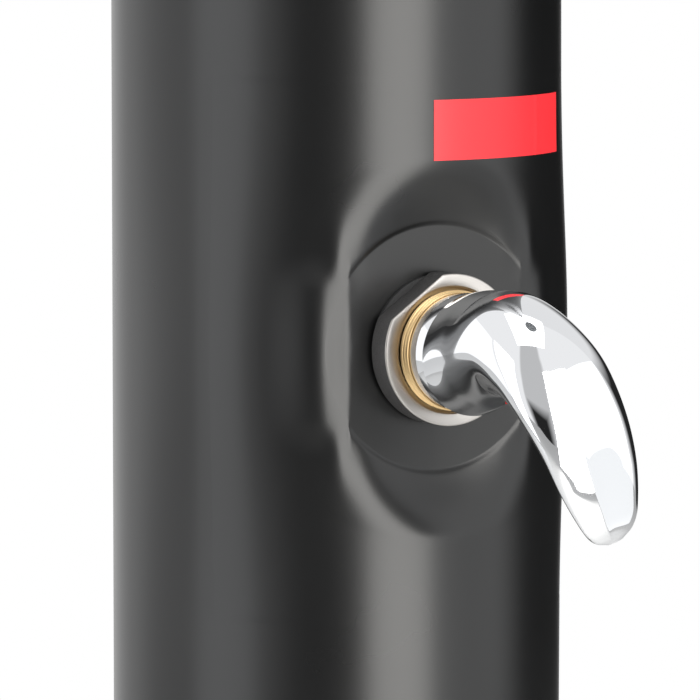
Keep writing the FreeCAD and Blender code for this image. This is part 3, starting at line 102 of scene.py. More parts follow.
class TankSettings(bpy.types.PropertyGroup):
    """The tank tube and its pressed seat."""
    radius: length("Tank radius", "Outer radius of the tube", 0.080)
    wall: length("Wall", "Thickness of the tube's wall", 0.003)
    bottom: length("Lower end", "Height of the tube's lower end", 0.0162)
    top: length("Upper end", "Height of the tube's upper end", 2.0962)
    seat_distance: length("Seat distance", "Tank axis to the flat seat", 0.0715)
    seat_radius: length("Seat radius", "Radius of the flat seat", 0.0425)
    seat_step: length("Seat step", "Small step at the seat's rim", 0.0004)
    step_width: length("Step width", "Width over which the rim's step rises", 0.0024)
    blend_radius: length("Blend radius", "Radius at which the press mark runs out", 0.067)
    rim_slope: share("Rim slope", "How abruptly the surround leaves the seat's rim", 0.45)
    crease: length("Crease", "Tank's middle to the crease beside the seat", 0.0346)
    edge_width: length("Edge width", "Rounding of the press mark along the crease", 0.0004)
    facet_slope: share("Facet slope", "How steeply the facet beside the seat falls back", 0.28)
    facet_width: length("Facet width", "Width of the facet beside the seat", 0.0068)
    facet_blend: length("Facet blend", "Width over which the facet meets the cylinder", 0.0170)
    crease_high: length("Crease upwards", "Length of the sharp crease above the axis", 0.0215)
    crease_low: length("Crease downwards", "Length of the sharp crease below the axis", 0.0235)
    crease_end: length("Crease end", "Length over which the crease softens", 0.0140)
    round_width: length("Round width", "Rounding of the press mark past the crease", 0.0042)
    bead: length("Bead", "Height of the bead past the crease", 0.0010)
    bead_place: length("Bead place", "Crease to the middle of the bead", 0.0044)
    bead_width: length("Bead width", "Half width of the bead", 0.0042)
    bulge: length("Side bulge", "How far the sides are pushed out beside the seat", 0.0026)
    bulge_angle: turning("Bulge angle", "Angle of the bulge's middle from the front", 1.05)
    bulge_width: turning("Bulge width", "Half width of the bulge round the tank", 0.36)
    bulge_height: length("Bulge height", "Half height of the bulge", 0.055)
    bulge_start: length("Bulge start", "How far inside the seat's rim the bulge starts", 0.004)
    straight_radius: length("Straight radius", "Radius in which the inner wall is set straight back",
                            0.030)
    hole_radius: length("Hole radius", "Hole for the mixer's neck", 0.0204)


class MixerSettings(bpy.types.PropertyGroup):
    """Fixing nut, neck thread, colour patch."""
    nut_radius: length("Nut radius", "Fixing nut's outer radius", 0.0265)
    nut_flat: length("Nut flat", "Fixing nut's axis to its spanner flat", 0.0234)
    nut_turn: turning("Nut turn", "Angle at which the nut came to rest", math.radians(126))
    thread_pitch: length("Thread pitch", "Pitch of the neck's fine thread", 0.0018)
    patch_low: length("Patch lower edge", "Height of the red patch's lower edge", 1.2155)
    patch_high: length("Patch upper edge", "Height of the red patch's upper edge", 1.2365)
    patch_from: turning("Patch start", "Angle of the patch's left edge from the front",
                        math.radians(-4))
    patch_to: turning("Patch end", "Angle of the patch's right edge from the front",
                      math.radians(46))


class LeverSettings(bpy.types.PropertyGroup):
    """The arched lever."""
    rim_radius: length("Rim radius", "Radius that the sections' shares are taken of", 0.0195)
    reach: length("Reach", "Rim to the lever's furthest point outwards", 0.0579)
    drop: length("Drop", "Mixer's axis to the lever's tip", 0.0645)
    crest: length("Crest", "Height of the crest along the paddle", 0.0009)
    mouth: length("Mouth", "Radius of the hollow that goes over the dome", 0.02135)


class FinishSettings(bpy.types.PropertyGroup):
    """Colours of the finishes."""
    tank: tint("Tank black", "Semi-gloss black of the tank", (0.0030, 0.0031, 0.0033))
    foot: tint("Foot black", "Moulded black of the foot and caps", (0.012, 0.012, 0.013))
    rubber: tint("Rubber black", "Gaskets and seals", (0.018, 0.018, 0.019))
    chrome: tint("Chrome", "Polished chrome", (0.82, 0.83, 0.85))
    nickel: tint("Nickel", "Plated nut and fittings", (0.46, 0.44, 0.42))
    # The nut's side: its cast grain is real, its dark colour is painted shade and painted dark
    # reflection on plated nickel.
    side_painted_shade: tint("Cast flank", "Rough cast side of the fixing nut", (0.085, 0.083, 0.083))
    brass: tint("Brass", "Bare turned brass", (0.66, 0.47, 0.24))
    steel: tint("Steel", "Stainless fasteners", (0.56, 0.57, 0.58))
    patch: tint("Patch red", "Vinyl patch over the mixer", (0.74, 0.018, 0.026))
    index: tint("Index red", "Colour plug of the lever", (0.75, 0.01, 0.01))
    hose: tint("Hose grey", "Braided inner hoses", (0.30, 0.31, 0.32))
    pipe: tint("Pipe grey", "Inner pipe and elbows", (0.42, 0.43, 0.44))
    acetal: tint("Acetal white", "Cartridge parts", (0.78, 0.77, 0.73))
    ceramic: tint("Ceramic", "Cartridge discs", (0.86, 0.82, 0.76))
    spray: tint("Spray grey", "Soft spray plate", (0.20, 0.21, 0.22))


# ---------------------------------------------------------------- shader helpers

BRAID_SLANT = 0.9       # radians


def node(tree, kind, values=None, **settings):
    """A node with its settings; each input gets a value, or a link from another node's socket."""
    made = tree.nodes.new(kind)
    for key, value in settings.items():
        setattr(made, key, value)
    for key, value in (values or {}).items():
        if isinstance(value, bpy.types.NodeSocket):
            tree.links.new(value, made.inputs[key])
        else:
            made.inputs[key].default_value = value
    return made


def new_group(name, inputs, outputs):
    """An empty shader node group: its tree, and the sockets of its named inputs."""
    tree = bpy.data.node_groups.new(name, "ShaderNodeTree")
    for label, kind, value in inputs:
        socket = tree.interface.new_socket(label, in_out="INPUT", socket_type=kind)
        socket.default_value = value
    for label in outputs:
        tree.interface.new_socket(label, in_out="OUTPUT", socket_type="NodeSocketFloat")
    return tree, node(tree, "NodeGroupInput").outputs


def object_place(tree):
    """The socket of Object coordinates."""
    return node(tree, "ShaderNodeTexCoord").outputs["Object"]


def grain_group():
    """Fine surface grain: two scales of noise on Object coordinates give a height and a mask."""
    tree, given = new_group(
        "Grain", [("Scale", "NodeSocketFloat", 900.0), ("Detail", "NodeSocketFloat", 3.0)],
        ["Height", "Mask"])
    place = object_place(tree)
    fine = node(tree, "ShaderNodeTexNoise", {"Vector": place, "Scale": given["Scale"],
                                             "Detail": given["Detail"], "Roughness": 0.55})
    broad = node(tree, "ShaderNodeTexNoise", {"Vector": place, "Scale": 14.0, "Detail": 4.0})
    node(tree, "NodeGroupOutput", {"Height": fine.outputs["Fac"], "Mask": broad.outputs["Fac"]})
    return tree


def cells_group():
    """Leather-like cells of a moulded surface: distance to the nearest cell point."""
    tree, given = new_group("Cells", [("Scale", "NodeSocketFloat", 600.0)], ["Height"])
    cells = node(tree, "ShaderNodeTexVoronoi", {"Vector": object_place(tree),
                                                "Scale": given["Scale"], "Randomness": 1.0})
    node(tree, "NodeGroupOutput", {"Height": cells.outputs["Distance"]})
    return tree


def lines_group():
    """Fine parallel lines along one axis, as turning or brushing leaves them: noise on
    coordinates stretched by the factors of Across."""
    tree, given = new_group(
        "Lines", [("Across", "NodeSocketVector", (1.0, 60.0, 1.0)),
                  ("Scale", "NodeSocketFloat", 120.0)], ["Height"])
    stretch = node(tree, "ShaderNodeVectorMath", {0: object_place(tree), 1: given["Across"]},
                   operation="MULTIPLY")
    noise = node(tree, "ShaderNodeTexNoise", {"Vector": stretch.outputs[0],
                                              "Scale": given["Scale"], "Detail": 2.0})
    node(tree, "NodeGroupOutput", {"Height": noise.outputs["Fac"]})
    return tree


def braid_group():
    """A crossed braid: the higher of two sets of bands that slant either way."""
    tree, given = new_group("Braid", [("Scale", "NodeSocketFloat", 240.0)], ["Height"])
    place = object_place(tree)
    heights = []
    for slant in (BRAID_SLANT, -BRAID_SLANT):
        turn = node(tree, "ShaderNodeVectorRotate", {"Vector": place, "Angle": slant},
                    rotation_type="X_AXIS")
        band = node(tree, "ShaderNodeTexWave", {"Vector": turn.outputs["Vector"],
                                                "Scale": given["Scale"]},
                    wave_type="BANDS", bands_direction="Z")
        heights.append(band.outputs["Fac"])
    both = node(tree, "ShaderNodeMath", dict(enumerate(heights)), operation="MAXIMUM")
    node(tree, "NodeGroupOutput", {"Height": both.outputs[0]})
    return tree


GROUPS = {"Grain": grain_group, "Cells": cells_group, "Lines": lines_group, "Braid": braid_group}


def place_group(tree, name, values=None):
    """Places a shared effect in a material's tree; the group is built the first time."""
    shared = bpy.data.node_groups.get(name) or GROUPS[name]()
    return node(tree, "ShaderNodeGroup", values, node_tree=shared)


def finish(name, colour, metallic=0.0, rough=(0.3, 0.36), bump="Grain", bump_values=None,
           bump_strength=0.05, bump_distance=0.0002, shade=0.06):
    """A finish: Principled BSDF, colour and roughness varied by a broad mask, and bump."""
    material = bpy.data.materials.get(name)
    if material:
        return material
    material = bpy.data.materials.new(name)
    material.use_nodes = True
    tree = material.node_tree
    shader = tree.nodes["Principled BSDF"]
    shader.inputs["Metallic"].default_value = metallic
    mask = place_group(tree, "Grain").outputs["Mask"]
    mix = node(tree, "ShaderNodeMix", {
        "Factor": mask, "A": (*[c * (1 - shade) for c in colour], 1.0),
        "B": (*[min(1.0, c * (1 + shade)) for c in colour], 1.0)}, data_type="RGBA")
    spread = node(tree, "ShaderNodeMapRange", {"Value": mask, "To Min": rough[0],
                                               "To Max": rough[1]})
    effect = place_group(tree, bump, bump_values)
    raised = node(tree, "ShaderNodeBump", {"Height": effect.outputs["Height"],
                                           "Strength": bump_strength, "Distance": bump_distance})
    tree.links.new(mix.outputs["Result"], shader.inputs["Base Color"])
    tree.links.new(spread.outputs["Result"], shader.inputs["Roughness"])
    tree.links.new(raised.outputs["Normal"], shader.inputs["Normal"])
    return material


def finishes():
    """Every finish by the record's slot name, and the nut's cast side with painted shade."""
    c = bpy.context.scene.post_finish
    return {
        "tank_black": finish("tank_semi_gloss", c.tank, rough=(0.26, 0.30),
                             bump_values={"Scale": 1300.0}, bump_strength=0.06, shade=0.10),
        "foot_black": finish("foot_moulded", c.foot, rough=(0.42, 0.52), bump="Cells",
                             bump_values={"Scale": 900.0}, bump_strength=0.25, shade=0.15),
        "rubber_black": finish("gasket_rubber", c.rubber, rough=(0.55, 0.7),
                               bump_values={"Scale": 1800.0}, bump_strength=0.2, shade=0.2),
        "fastener_steel": finish("fastener_steel", c.steel, 1.0, rough=(0.22, 0.34),
                                 bump="Lines", bump_strength=0.08),
        "nickel": finish("plated_nickel", c.nickel, 1.0, rough=(0.20, 0.42), bump="Lines",
                         bump_values={"Across": (1.0, 30.0, 1.0)}, bump_strength=0.06),
        "brass": finish("turned_brass", c.brass, 1.0, rough=(0.22, 0.34), bump="Lines",
                        bump_values={"Across": (1.0, 80.0, 1.0)}, bump_strength=0.08),
        "chrome": finish("polished_chrome", c.chrome, 1.0, rough=(0.025, 0.04),
                         bump_values={"Scale": 60.0}, bump_strength=0.01, shade=0.01),
        "acetal_white": finish("acetal", c.acetal, rough=(0.35, 0.45)),
        "ceramic": finish("ceramic_disc", c.ceramic, rough=(0.12, 0.2)),
        "hose_grey": finish("braided_hose", c.hose, 0.2, rough=(0.35, 0.5), bump="Braid",
                            bump_strength=0.8, bump_distance=0.0005, shade=0.2),
        "pipe_grey": finish("grey_pipe", c.pipe, rough=(0.35, 0.45)),
        "index_red": finish("index_red", c.index, rough=(0.15, 0.25)),
        "spray_grey": finish("soft_spray_plate", c.spray, rough=(0.5, 0.6)),
        "patch_red": finish("patch_vinyl", c.patch, rough=(0.35, 0.5),
                            bump_values={"Scale": 700.0}, bump_strength=0.08, shade=0.03),
        # the nut's side: real cast grain, with a dark colour that paints the shade and dark
        # reflections on it
        "cast_grain_painted_shade": finish("cast_grain_painted_shade", c.side_painted_shade, 0.7, rough=(0.38, 0.55),
                             bump_values={"Scale": 1500.0, "Detail": 4.0}, bump_strength=1.0,
                             bump_distance=0.0010, shade=0.5),
    }


# ---------------------------------------------------------------- mesh helpers

def grid_faces(rows, columns, wrap, close=False):
    """Quads of a grid of rows x columns points; wrap joins the last column to the first, and
    close joins the last row to the first."""
    row, column = np.meshgrid(np.arange(rows if close else rows - 1),
                              np.arange(columns if wrap else columns - 1), indexing="ij")
    after, above = (column + 1) % columns, (row + 1) % rows
    return np.stack([row * columns + column, row * columns + after,
                     above * columns + after, above * columns + column], -1).reshape(-1, 4)


def grid_rim(low, high, right, columns):
    """Points round a part of a grid, from its first column to right and from row low to high:
    along row low, up the right side, back along row high and down the first column."""
    return np.concatenate([low * columns + np.arange(right),
                           np.arange(low, high) * columns + right,
                           high * columns + np.arange(right, 0, -1),
                           np.arange(high, low, -1) * columns])


def mesh_piece(name, points, quads, material, body, smooth_angle, triangles=()):
    """Puts points and faces into a mesh object that rides a body."""
    mesh = bpy.data.meshes.new(name)
    mesh.from_pydata(np.reshape(points, (-1, 3)).tolist(), [], quads.tolist() + list(triangles))
    mesh.polygons.foreach_set("use_smooth", np.ones(len(mesh.polygons), bool))
    mesh.set_sharp_from_angle(angle=math.radians(smooth_angle))
    mesh.validate()
    mesh.update()
    made = add_object(name, mesh)
    mesh.materials.append(material)
    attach(made, body)
    return made


def add_object(name, data):
    """A linked object with a mesh, lamp or camera in it."""
    made = bpy.data.objects.new(name, data)
    bpy.context.scene.collection.objects.link(made)
    return made


def turned_points(radius, along, count):
    """A profile turned round Z, one row for each distance along +Z.  A row's radius is one
    number, or one for every step of the turn."""
    angle = np.arange(count) * TURN / count
    radius = np.reshape(radius, (len(along), -1))
    return np.stack(np.broadcast_arrays(radius * np.cos(angle), radius * np.sin(angle),
                                        np.reshape(along, (-1, 1))), -1)


def from_mixer(points):
    """From mixer coordinates (right, up, out of the seat) to the row frame."""
    seat = bpy.context.scene.post_tank.seat_distance
    return np.stack([points[..., 0], -(seat + points[..., 2]),
                     MIXER_HEIGHT + points[..., 1]], -1)


# ---------------------------------------------------------------- tank

# Window of finer mesh round the seat: half width, half height, columns and rows; then the
# columns round the rest of the tube, and the rows below and above the window.
WINDOW_X, WINDOW_Z = 0.0700, 0.095
WINDOW_COLUMNS, WINDOW_ROWS = 71, 93
REST_COLUMNS, ROWS_BELOW, ROWS_ABOVE = 71, 26, 22

# Rings of points round the seat as radii and a count: from the neck's hole, over the seat's
# rim and over the surround.  The last rings lead on to the window's edge.
SEAT_RINGS = (0.0418, 20)
RIM_RINGS = (0.0420, 0.0440, 9)
SURROUND_RINGS = (0.0446, 0.068, 32)
LAST_RINGS = 12


def eased(part):
    """A smooth rise from 0 to 1: 3 p^2 - 2 p^3."""
    return part * part * (3 - 2 * part)


def risen(value, start, width):
    """Share of the way from start to start + width, within 0 and 1."""
    return np.clip((value - start) / width, 0, 1)


def soft_min(a, b, width):
    """Smaller of two lengths, with the change-over rounded over about width."""
    gap = np.clip(0.5 + 0.5 * (b - a) / width, 0, 1)
    return b * (1 - gap) + a * gap - width * gap * (1 - gap)


def pressed_front(tank, x, z, depth, inset=0.0):
    """Surface of the tube at x and height z, where a plain cylinder has the given depth.

    The front depth is the smaller of the cylinder's and the flat seat's, with a small soft
    step at the seat's rim, and it fades back to the cylinder's over a surround.  Beside the
    seat a crease, |x| = c, leads to a facet of slope k, depth = s - k (|x| - c), which meets
    the cylinder again further round.  Above and below, the crease gives way to a rounded edge
    with a soft bead.  The sides beside the seat are pushed outwards by a wide bell-shaped
    bulge.  The inset moves the surface inwards: straight back where the seat is, and along
    the radius elsewhere.
    """
    up = z - MIXER_HEIGHT
    distance, aside = np.hypot(x, up), np.abs(x) - tank.crease
    part = risen(distance, tank.seat_radius, tank.blend_radius - tank.seat_radius)
    fade = 1 - (1 - tank.rim_slope) * eased(part) - tank.rim_slope * part * (2 - part)
    seat = tank.seat_distance + tank.seat_step * eased(
        risen(distance, tank.seat_radius, tank.step_width))
    facet = tank.seat_distance - tank.facet_slope * np.maximum(aside, 0)
    back = eased(risen(aside, tank.facet_width, tank.facet_blend))
    sharp = np.where(aside > 0, facet * (1 - back) + depth * back,
                     soft_min(seat, depth, tank.edge_width))
    bead = tank.bead * np.exp(-((aside - tank.bead_place) / tank.bead_width) ** 2)
    rounded = soft_min(seat, depth, tank.round_width) + bead
    reach = np.where(up < 0, tank.crease_low, tank.crease_high)
    end = eased(risen(np.abs(up), reach, tank.crease_end))
    pressed = sharp * (1 - end) + rounded * end
    front = np.where(depth > 0, depth + (pressed - depth) * fade, depth)
    theta = np.arctan2(x, depth)
    bell = (tank.bulge * np.exp(-((np.abs(theta) - tank.bulge_angle) / tank.bulge_width) ** 2)
            * np.exp(-(up / tank.bulge_height) ** 2)
            * risen(distance, tank.seat_radius - tank.bulge_start, tank.bulge_start))
    straight = np.exp(-(distance / tank.straight_radius) ** 4) * (depth > 0)
    return np.stack([x + (bell - inset * (1 - straight)) * np.sin(theta),
                     -(front + bell * np.cos(theta)
                       - inset * (straight + (1 - straight) * np.cos(theta))), z], -1)


def pressed_tank(tank, theta, z, inset=0.0):
    """The same surface at angle theta from the front and height z."""
    return pressed_front(tank, tank.radius * np.sin(theta), z, tank.radius * np.cos(theta),
                         inset)


def tank_side(tank, theta, z, spots, inset):
    """Points of one side of the tube's wall: the whole grid, then the rings round the seat."""
    x = spots[..., 0]
    rings = pressed_front(tank, x, MIXER_HEIGHT + spots[..., 1],
                          np.sqrt(tank.radius ** 2 - x ** 2), inset)
    return np.concatenate([pressed_tank(tank, theta, z, inset).reshape(-1, 3),
                           rings.reshape(-1, 3)])


def tank_grid(tank):
    """Angles and heights of the tube's grid, even in x and z inside the window."""
    edge = math.asin(WINDOW_X / tank.radius)
    across = np.linspace(-WINDOW_X, WINDOW_X, WINDOW_COLUMNS) / tank.radius
    theta = np.concatenate([np.arcsin(across),
                            np.linspace(edge, TURN - edge, REST_COLUMNS)[1:-1]])
    low, high = MIXER_HEIGHT - WINDOW_Z, MIXER_HEIGHT + WINDOW_Z
    heights = np.concatenate([np.linspace(tank.bottom, low, ROWS_BELOW)[:-1],
                              np.linspace(low, high, WINDOW_ROWS),
                              np.linspace(high, tank.top, ROWS_ABOVE)[1:]])
    return np.meshgrid(theta, heights)


def seat_spots(tank, edge):
    """Points (x, height over the mixer) of the rings round the seat, on spokes to the window's
    edge points: round at first, and blended to the window's own outline by the last rings."""
    reach = np.hypot(*edge.T)
    radii = np.concatenate([np.linspace(tank.hole_radius, *SEAT_RINGS), np.linspace(*RIM_RINGS),
                            np.linspace(*SURROUND_RINGS)])
    beyond = np.linspace(0, 1, LAST_RINGS)[1:-1]
    rings = np.concatenate([np.broadcast_to(radii[:, None], (len(radii), len(edge))),
                            radii[-1] + beyond[:, None] * (reach - radii[-1])])
    return rings[..., None] * (edge / reach[:, None])


class POST_OT_tank(bpy.types.Operator):
    """Tank tube with the pressed flat seat"""
    bl_idname = "post.tank"
    bl_label = "Tank tube"

    def execute(self, context):
        tank = context.scene.post_tank
        theta, z = tank_grid(tank)
        rows, columns = theta.shape
        right, low, high = WINDOW_COLUMNS - 1, ROWS_BELOW - 1, ROWS_BELOW + WINDOW_ROWS - 2
        faces = grid_faces(rows, columns, True)
        row, column = faces[:, 0] // columns, faces[:, 0] % columns
        faces = faces[(row < low) | (row >= high) | (column >= right)]
        # the window, filled with rings that lead from the neck's hole to its edge
        rim = grid_rim(low, high, right, columns)
        edge = np.stack([tank.radius * np.sin(theta), z - MIXER_HEIGHT], -1).reshape(-1, 2)[rim]
        spots = seat_spots(tank, edge)
        start = rows * columns
        k = np.arange(len(rim))
        after = np.roll(k, -1)
        last = start + (len(spots) - 1) * len(rim)
        joint = np.stack([last + k, last + after, rim[after], rim], -1)
        skin = np.concatenate([faces, grid_faces(len(spots), len(rim), True) + start, joint])
        # the inner wall, and what closes it to the outer one at the hole and both ends
        outer = tank_side(tank, theta, z, spots, 0.0)
        inner = tank_side(tank, theta, z, spots, tank.wall)
        base = len(outer)
        collar = np.stack([start + k, base + start + k, base + start + after, start + after], -1)
        j = np.arange(columns)
        on, top = np.roll(j, -1), (rows - 1) * columns
        low_end = np.stack([j, base + j, base + on, on], -1)
        high_end = np.stack([top + j, top + on, base + top + on, base + top + j], -1)
        every = np.concatenate([skin, skin[:, ::-1] + base, collar, low_end, high_end])
        shell = mesh_piece("tank_shell", np.concatenate([outer, inner]), every,
                           finishes()["tank_black"], "post", 50)
        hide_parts("tank_tube")
        return {"FINISHED"}


# ---------------------------------------------------------------- mixer

# Fixing nut: (mm in front of the seat, inset from its outline) from its back to its front
# edge, then (mm, radius) through its front recess and down its hole.
NUT_OUTSIDE = np.array(((1.70, 0.0006), (1.70, 0.0003), (1.95, 0.0), (5.5, 0.0), (11.10, 0.0),
                        (11.40, 0.00012), (11.60, 0.0004), (11.65, 0.0009)))
NUT_INSIDE = np.array(((11.65, 0.0224), (11.60, 0.0222), (10.5, 0.0208), (10.2, 0.0204),
                       (1.70, 0.0204)))
NUT_STEPS = 288
NUT_SIDE_PAINTED_SHADE = slice(2, 4)     # rows of faces of the cast side, painted dark for shade
FLAT_FACING = 0.2           # least cosine used for the flat, which is out of play there

# Neck's thread: its ends in front of the seat, root radius, depth, sharpness of its crests,
# radii of its ends and of its hidden back, and how many points along and round.
THREAD_FROM, THREAD_TO = 0.0118, 0.0168
THREAD_ROOT, THREAD_DEPTH, THREAD_SHARPNESS = 0.02005, 0.00085, 2.2
THREAD_END, THREAD_BACK = 0.02010, 0.02004
THREAD_ROWS, THREAD_STEPS = 130, 180

# Patch: points round and up, distance of its face and back off the tank, and height, angle
# from the front and half width of the fine wrinkle in it.
PATCH_COLUMNS, PATCH_ROWS = 61, 21
PATCH_FACE, PATCH_BACK = 0.00018, 0.00002
WRINKLE_HEIGHT, WRINKLE_ANGLE, WRINKLE_WIDTH = 0.00022, 0.56, 0.012


class POST_OT_mixer(bpy.types.Operator):
    """Fixing nut with its spanner flat, and the neck's fine thread"""
    bl_idname = "post.mixer"
    bl_label = "Fixing nut and neck"

    def execute(self, context):
        mixer = context.scene.post_mixer
        looks = finishes()
        # outline: a circle cut by one flat
        facing = np.cos(np.arange(NUT_STEPS) * TURN / NUT_STEPS - mixer.nut_turn)
        outline = np.minimum(mixer.nut_radius, mixer.nut_flat / np.maximum(facing, FLAT_FACING))
        outside = outline - NUT_OUTSIDE[:, 1:]
        inside = NUT_INSIDE[:, 1:] + 0 * outline
        along = np.concatenate([NUT_OUTSIDE[:, 0], NUT_INSIDE[:, 0]]) * MM
        points = turned_points(np.concatenate([outside, inside]), along, NUT_STEPS)
        nut = mesh_piece("fixing_nut", from_mixer(points),
                         grid_faces(len(along), NUT_STEPS, True, True),
                         looks["nickel"], "post", 28)
        # the nut's side takes the finish whose dark colour paints its shade
        nut.data.materials.append(looks["cast_grain_painted_shade"])
        side_painted_shade = np.zeros((len(along), NUT_STEPS), np.int32)
        side_painted_shade[NUT_SIDE_PAINTED_SHADE] = 1
        nut.data.polygons.foreach_set("material_index", side_painted_shade.ravel())
        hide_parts("mixer_locknut")

        # thread: rings whose radius rises to a crest once in a pitch, from the nut to the bare
        # end of the neck
        s = np.linspace(THREAD_FROM, THREAD_TO, THREAD_ROWS)
        peak = 1 - np.abs(((s / mixer.thread_pitch) % 1) * 2 - 1)
        crest = THREAD_ROOT + THREAD_DEPTH * peak ** THREAD_SHARPNESS
        radius = np.concatenate([[THREAD_END], crest, [THREAD_END, THREAD_BACK, THREAD_BACK]])
        along = np.concatenate([s[:1], s, s[-1:], s[-1:], s[:1]])
        sleeve = turned_points(radius, along, THREAD_STEPS)
        mesh_piece("neck_thread", from_mixer(sleeve),
                   grid_faces(len(along), THREAD_STEPS, True, True), looks["brass"],
                   "post", 60)
        return {"FINISHED"}


class POST_OT_patch(bpy.types.Operator):
    """Plain red vinyl patch above the mixer"""
    bl_idname = "post.patch"
    bl_label = "Red patch"

    def execute(self, context):
        mixer, tank = context.scene.post_mixer, context.scene.post_tank
        theta, z = np.meshgrid(np.linspace(mixer.patch_from, mixer.patch_to, PATCH_COLUMNS),
                               np.linspace(mixer.patch_low, mixer.patch_high, PATCH_ROWS))
        base = pressed_tank(tank, theta, z)
        outward = np.stack([np.sin(theta), -np.cos(theta), 0 * theta], -1)
        wrinkle = WRINKLE_HEIGHT * np.exp(-((theta - WRINKLE_ANGLE) / WRINKLE_WIDTH) ** 2)
        face = base + outward * (PATCH_FACE + wrinkle)[..., None]
        back = base + outward * PATCH_BACK
        faces = grid_faces(PATCH_ROWS, PATCH_COLUMNS, False)
        rim = grid_rim(0, PATCH_ROWS - 1, PATCH_COLUMNS - 1, PATCH_COLUMNS)
        after = np.roll(rim, -1)
        sides = np.stack([rim, rim + theta.size, after + theta.size, after], -1)
        mesh_piece("red_patch", np.concatenate([face, back]),
                   np.concatenate([faces, faces[:, ::-1] + theta.size, sides]),
                   finishes()["patch_red"], "post", 40)
        return {"FINISHED"}


# ---------------------------------------------------------------- lever

# The lever's sections from its rim to its tip: outwards and downwards as shares of the reach
# and the drop, half thickness and half width as shares of the rim's radius, turn in degrees.
LEVER_SECTIONS = np.array((
    (0.000, 0.000, 1.090, 1.120, 0),
    (0.190, -0.045, 1.040, 1.015, 0),
    (0.474, -0.090, 0.930, 0.940, 11),
    (0.715, -0.020, 0.735, 0.955, 28),
    (0.880, 0.125, 0.525, 0.970, 45),
    (0.985, 0.370, 0.342, 0.903, 63),
    (1.000, 0.622, 0.203, 0.802, 79),
    (0.982, 0.850, 0.115, 0.600, 93),
    (0.966, 0.945, 0.078, 0.420, 99),
    (0.958, 0.988, 0.040, 0.170, 104)))
LEVER_LEAN = math.radians(20)               # to the right
LEVER_RIM, TILT_AXIS = 0.0289, 0.0184       # in front of the seat
LEVER_ROWS, LEVER_STEPS, MOUTH_ROWS = 150, 160, 24
MOUTH_EDGE = 0.0206                         # radius at the rim
MOUTH_END = 0.002                           # angle of the innermost ring from the axis
THINNEST = 0.0001                           # least half width and half thickness

# The crest: its place across as a cosine, its width to the left and right of that, how
# steeply it starts at the paddle's edge, and its start, end and fade as shares of the length.
CREST_PLACE, CREST_LEFT, CREST_RIGHT, CREST_RISE = 0.30, 0.50, 0.22, 4
CREST_FROM, CREST_TO, CREST_FADE = 0.40, 0.93, 0.2


def smooth_rows(table, count):
    """Values between the rows of a table, by Catmull-Rom curves through them."""
    rows = len(table)
    place = np.linspace(0, rows - 1, count)
    low = np.minimum(place.astype(int), rows - 2)
    part = (place - low)[:, None]
    padded = np.concatenate([2 * table[:1] - table[1:2], table, 2 * table[-1:] - table[-2:-1]])
    a, b, c, d = padded[low], padded[low + 1], padded[low + 2], padded[low + 3]
    return 0.5 * (2 * b + (c - a) * part + (2 * a - 5 * b + 4 * c - d) * part ** 2
                  + (3 * b - a - 3 * c + d) * part ** 3)


def leant(across, up, out):
    """Mixer coordinates of points in the lever's own plane, which leans to the right."""
    cos, sin = math.cos(LEVER_LEAN), math.sin(LEVER_LEAN)
    return np.stack([across * cos - up * sin, across * sin + up * cos, out], -1)


def lever_points(lever):
    """Rows of ellipses (w cos a, t sin a) that follow the lever's arch, each turned with it, in
    mixer coordinates.  On the outer half stands a crest: a cusp across, exp(-|cos a + c| / w),
    and even along the paddle with a fade at both ends."""
    out, down, thick, wide, turn = smooth_rows(LEVER_SECTIONS, LEVER_ROWS).T[..., None]
    turn = np.radians(turn)
    angle = np.arange(LEVER_STEPS) * TURN / LEVER_STEPS
    aside = np.cos(angle) + CREST_PLACE
    across = (np.exp(-np.abs(aside) / np.where(aside < 0, CREST_LEFT, CREST_RIGHT))
              * np.clip(np.sin(angle) * CREST_RISE, 0, 1))
    place = np.linspace(0, 1, LEVER_ROWS)[:, None]
    along = (np.clip((place - CREST_FROM) / CREST_FADE, 0, 1)
             * np.clip((CREST_TO - place) / CREST_FADE, 0, 1))
    half_wide = np.maximum(lever.rim_radius * wide, THINNEST) * np.cos(angle)
    half_thick = (np.maximum(lever.rim_radius * thick, THINNEST) * np.sin(angle)
                  + lever.crest * across * along)
    return leant(half_wide, half_thick * np.cos(turn) - lever.drop * down,
                 LEVER_RIM + lever.reach * out + half_thick * np.sin(turn))


class POST_OT_lever(bpy.types.Operator):
    """Arched chrome lever, hollow at its rim"""
    bl_idname = "post.lever"
    bl_label = "Lever"

    def execute(self, context):
        lever = context.scene.post_lever
        # the mouth is a sphere round the tilt axis, so it clears the dome at every lift
        opening = np.linspace(math.acos((LEVER_RIM - TILT_AXIS) / lever.mouth), MOUTH_END,
                              MOUTH_ROWS)
        radius = np.concatenate([[MOUTH_EDGE], lever.mouth * np.sin(opening)])
        depth = np.concatenate([[LEVER_RIM], TILT_AXIS + lever.mouth * np.cos(opening)])
        mouth = leant(*np.moveaxis(turned_points(radius, depth, LEVER_STEPS), -1, 0))
        points = np.concatenate([mouth[::-1], lever_points(lever)])
        rows = len(points)
        points = np.concatenate([points.reshape(-1, 3), points[-1:].mean(1)])
        # the tip is closed with triangles to its middle
        k = np.arange(LEVER_STEPS)
        last = (rows - 1) * LEVER_STEPS
        cap = np.stack([last + k, last + np.roll(k, -1), 0 * k + rows * LEVER_STEPS], -1)
        handle = mesh_piece("lever_arch", from_mixer(points),
                            grid_faces(rows, LEVER_STEPS, True), finishes()["chrome"],
                            "lever", 40, cap.tolist())
        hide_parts("lever_handle")
        return {"FINISHED"}


# ---------------------------------------------------------------- finishes on the CAD nodes

class POST_OT_dress(bpy.types.Operator):
    """Procedural finishes on every carried-over CAD node"""
    bl_idname = "post.dress"
    bl_label = "Finishes"

    def execute(self, context):
        looks = finishes()
        slots = {part["node"]: part["material_slot"] for part in frame["record"]["subparts"]}
        for name, obj in frame["nodes"].items():
            for place in obj.material_slots:
                place.material = looks[slots[name]]
        return {"FINISHED"}


# ---------------------------------------------------------------- stage

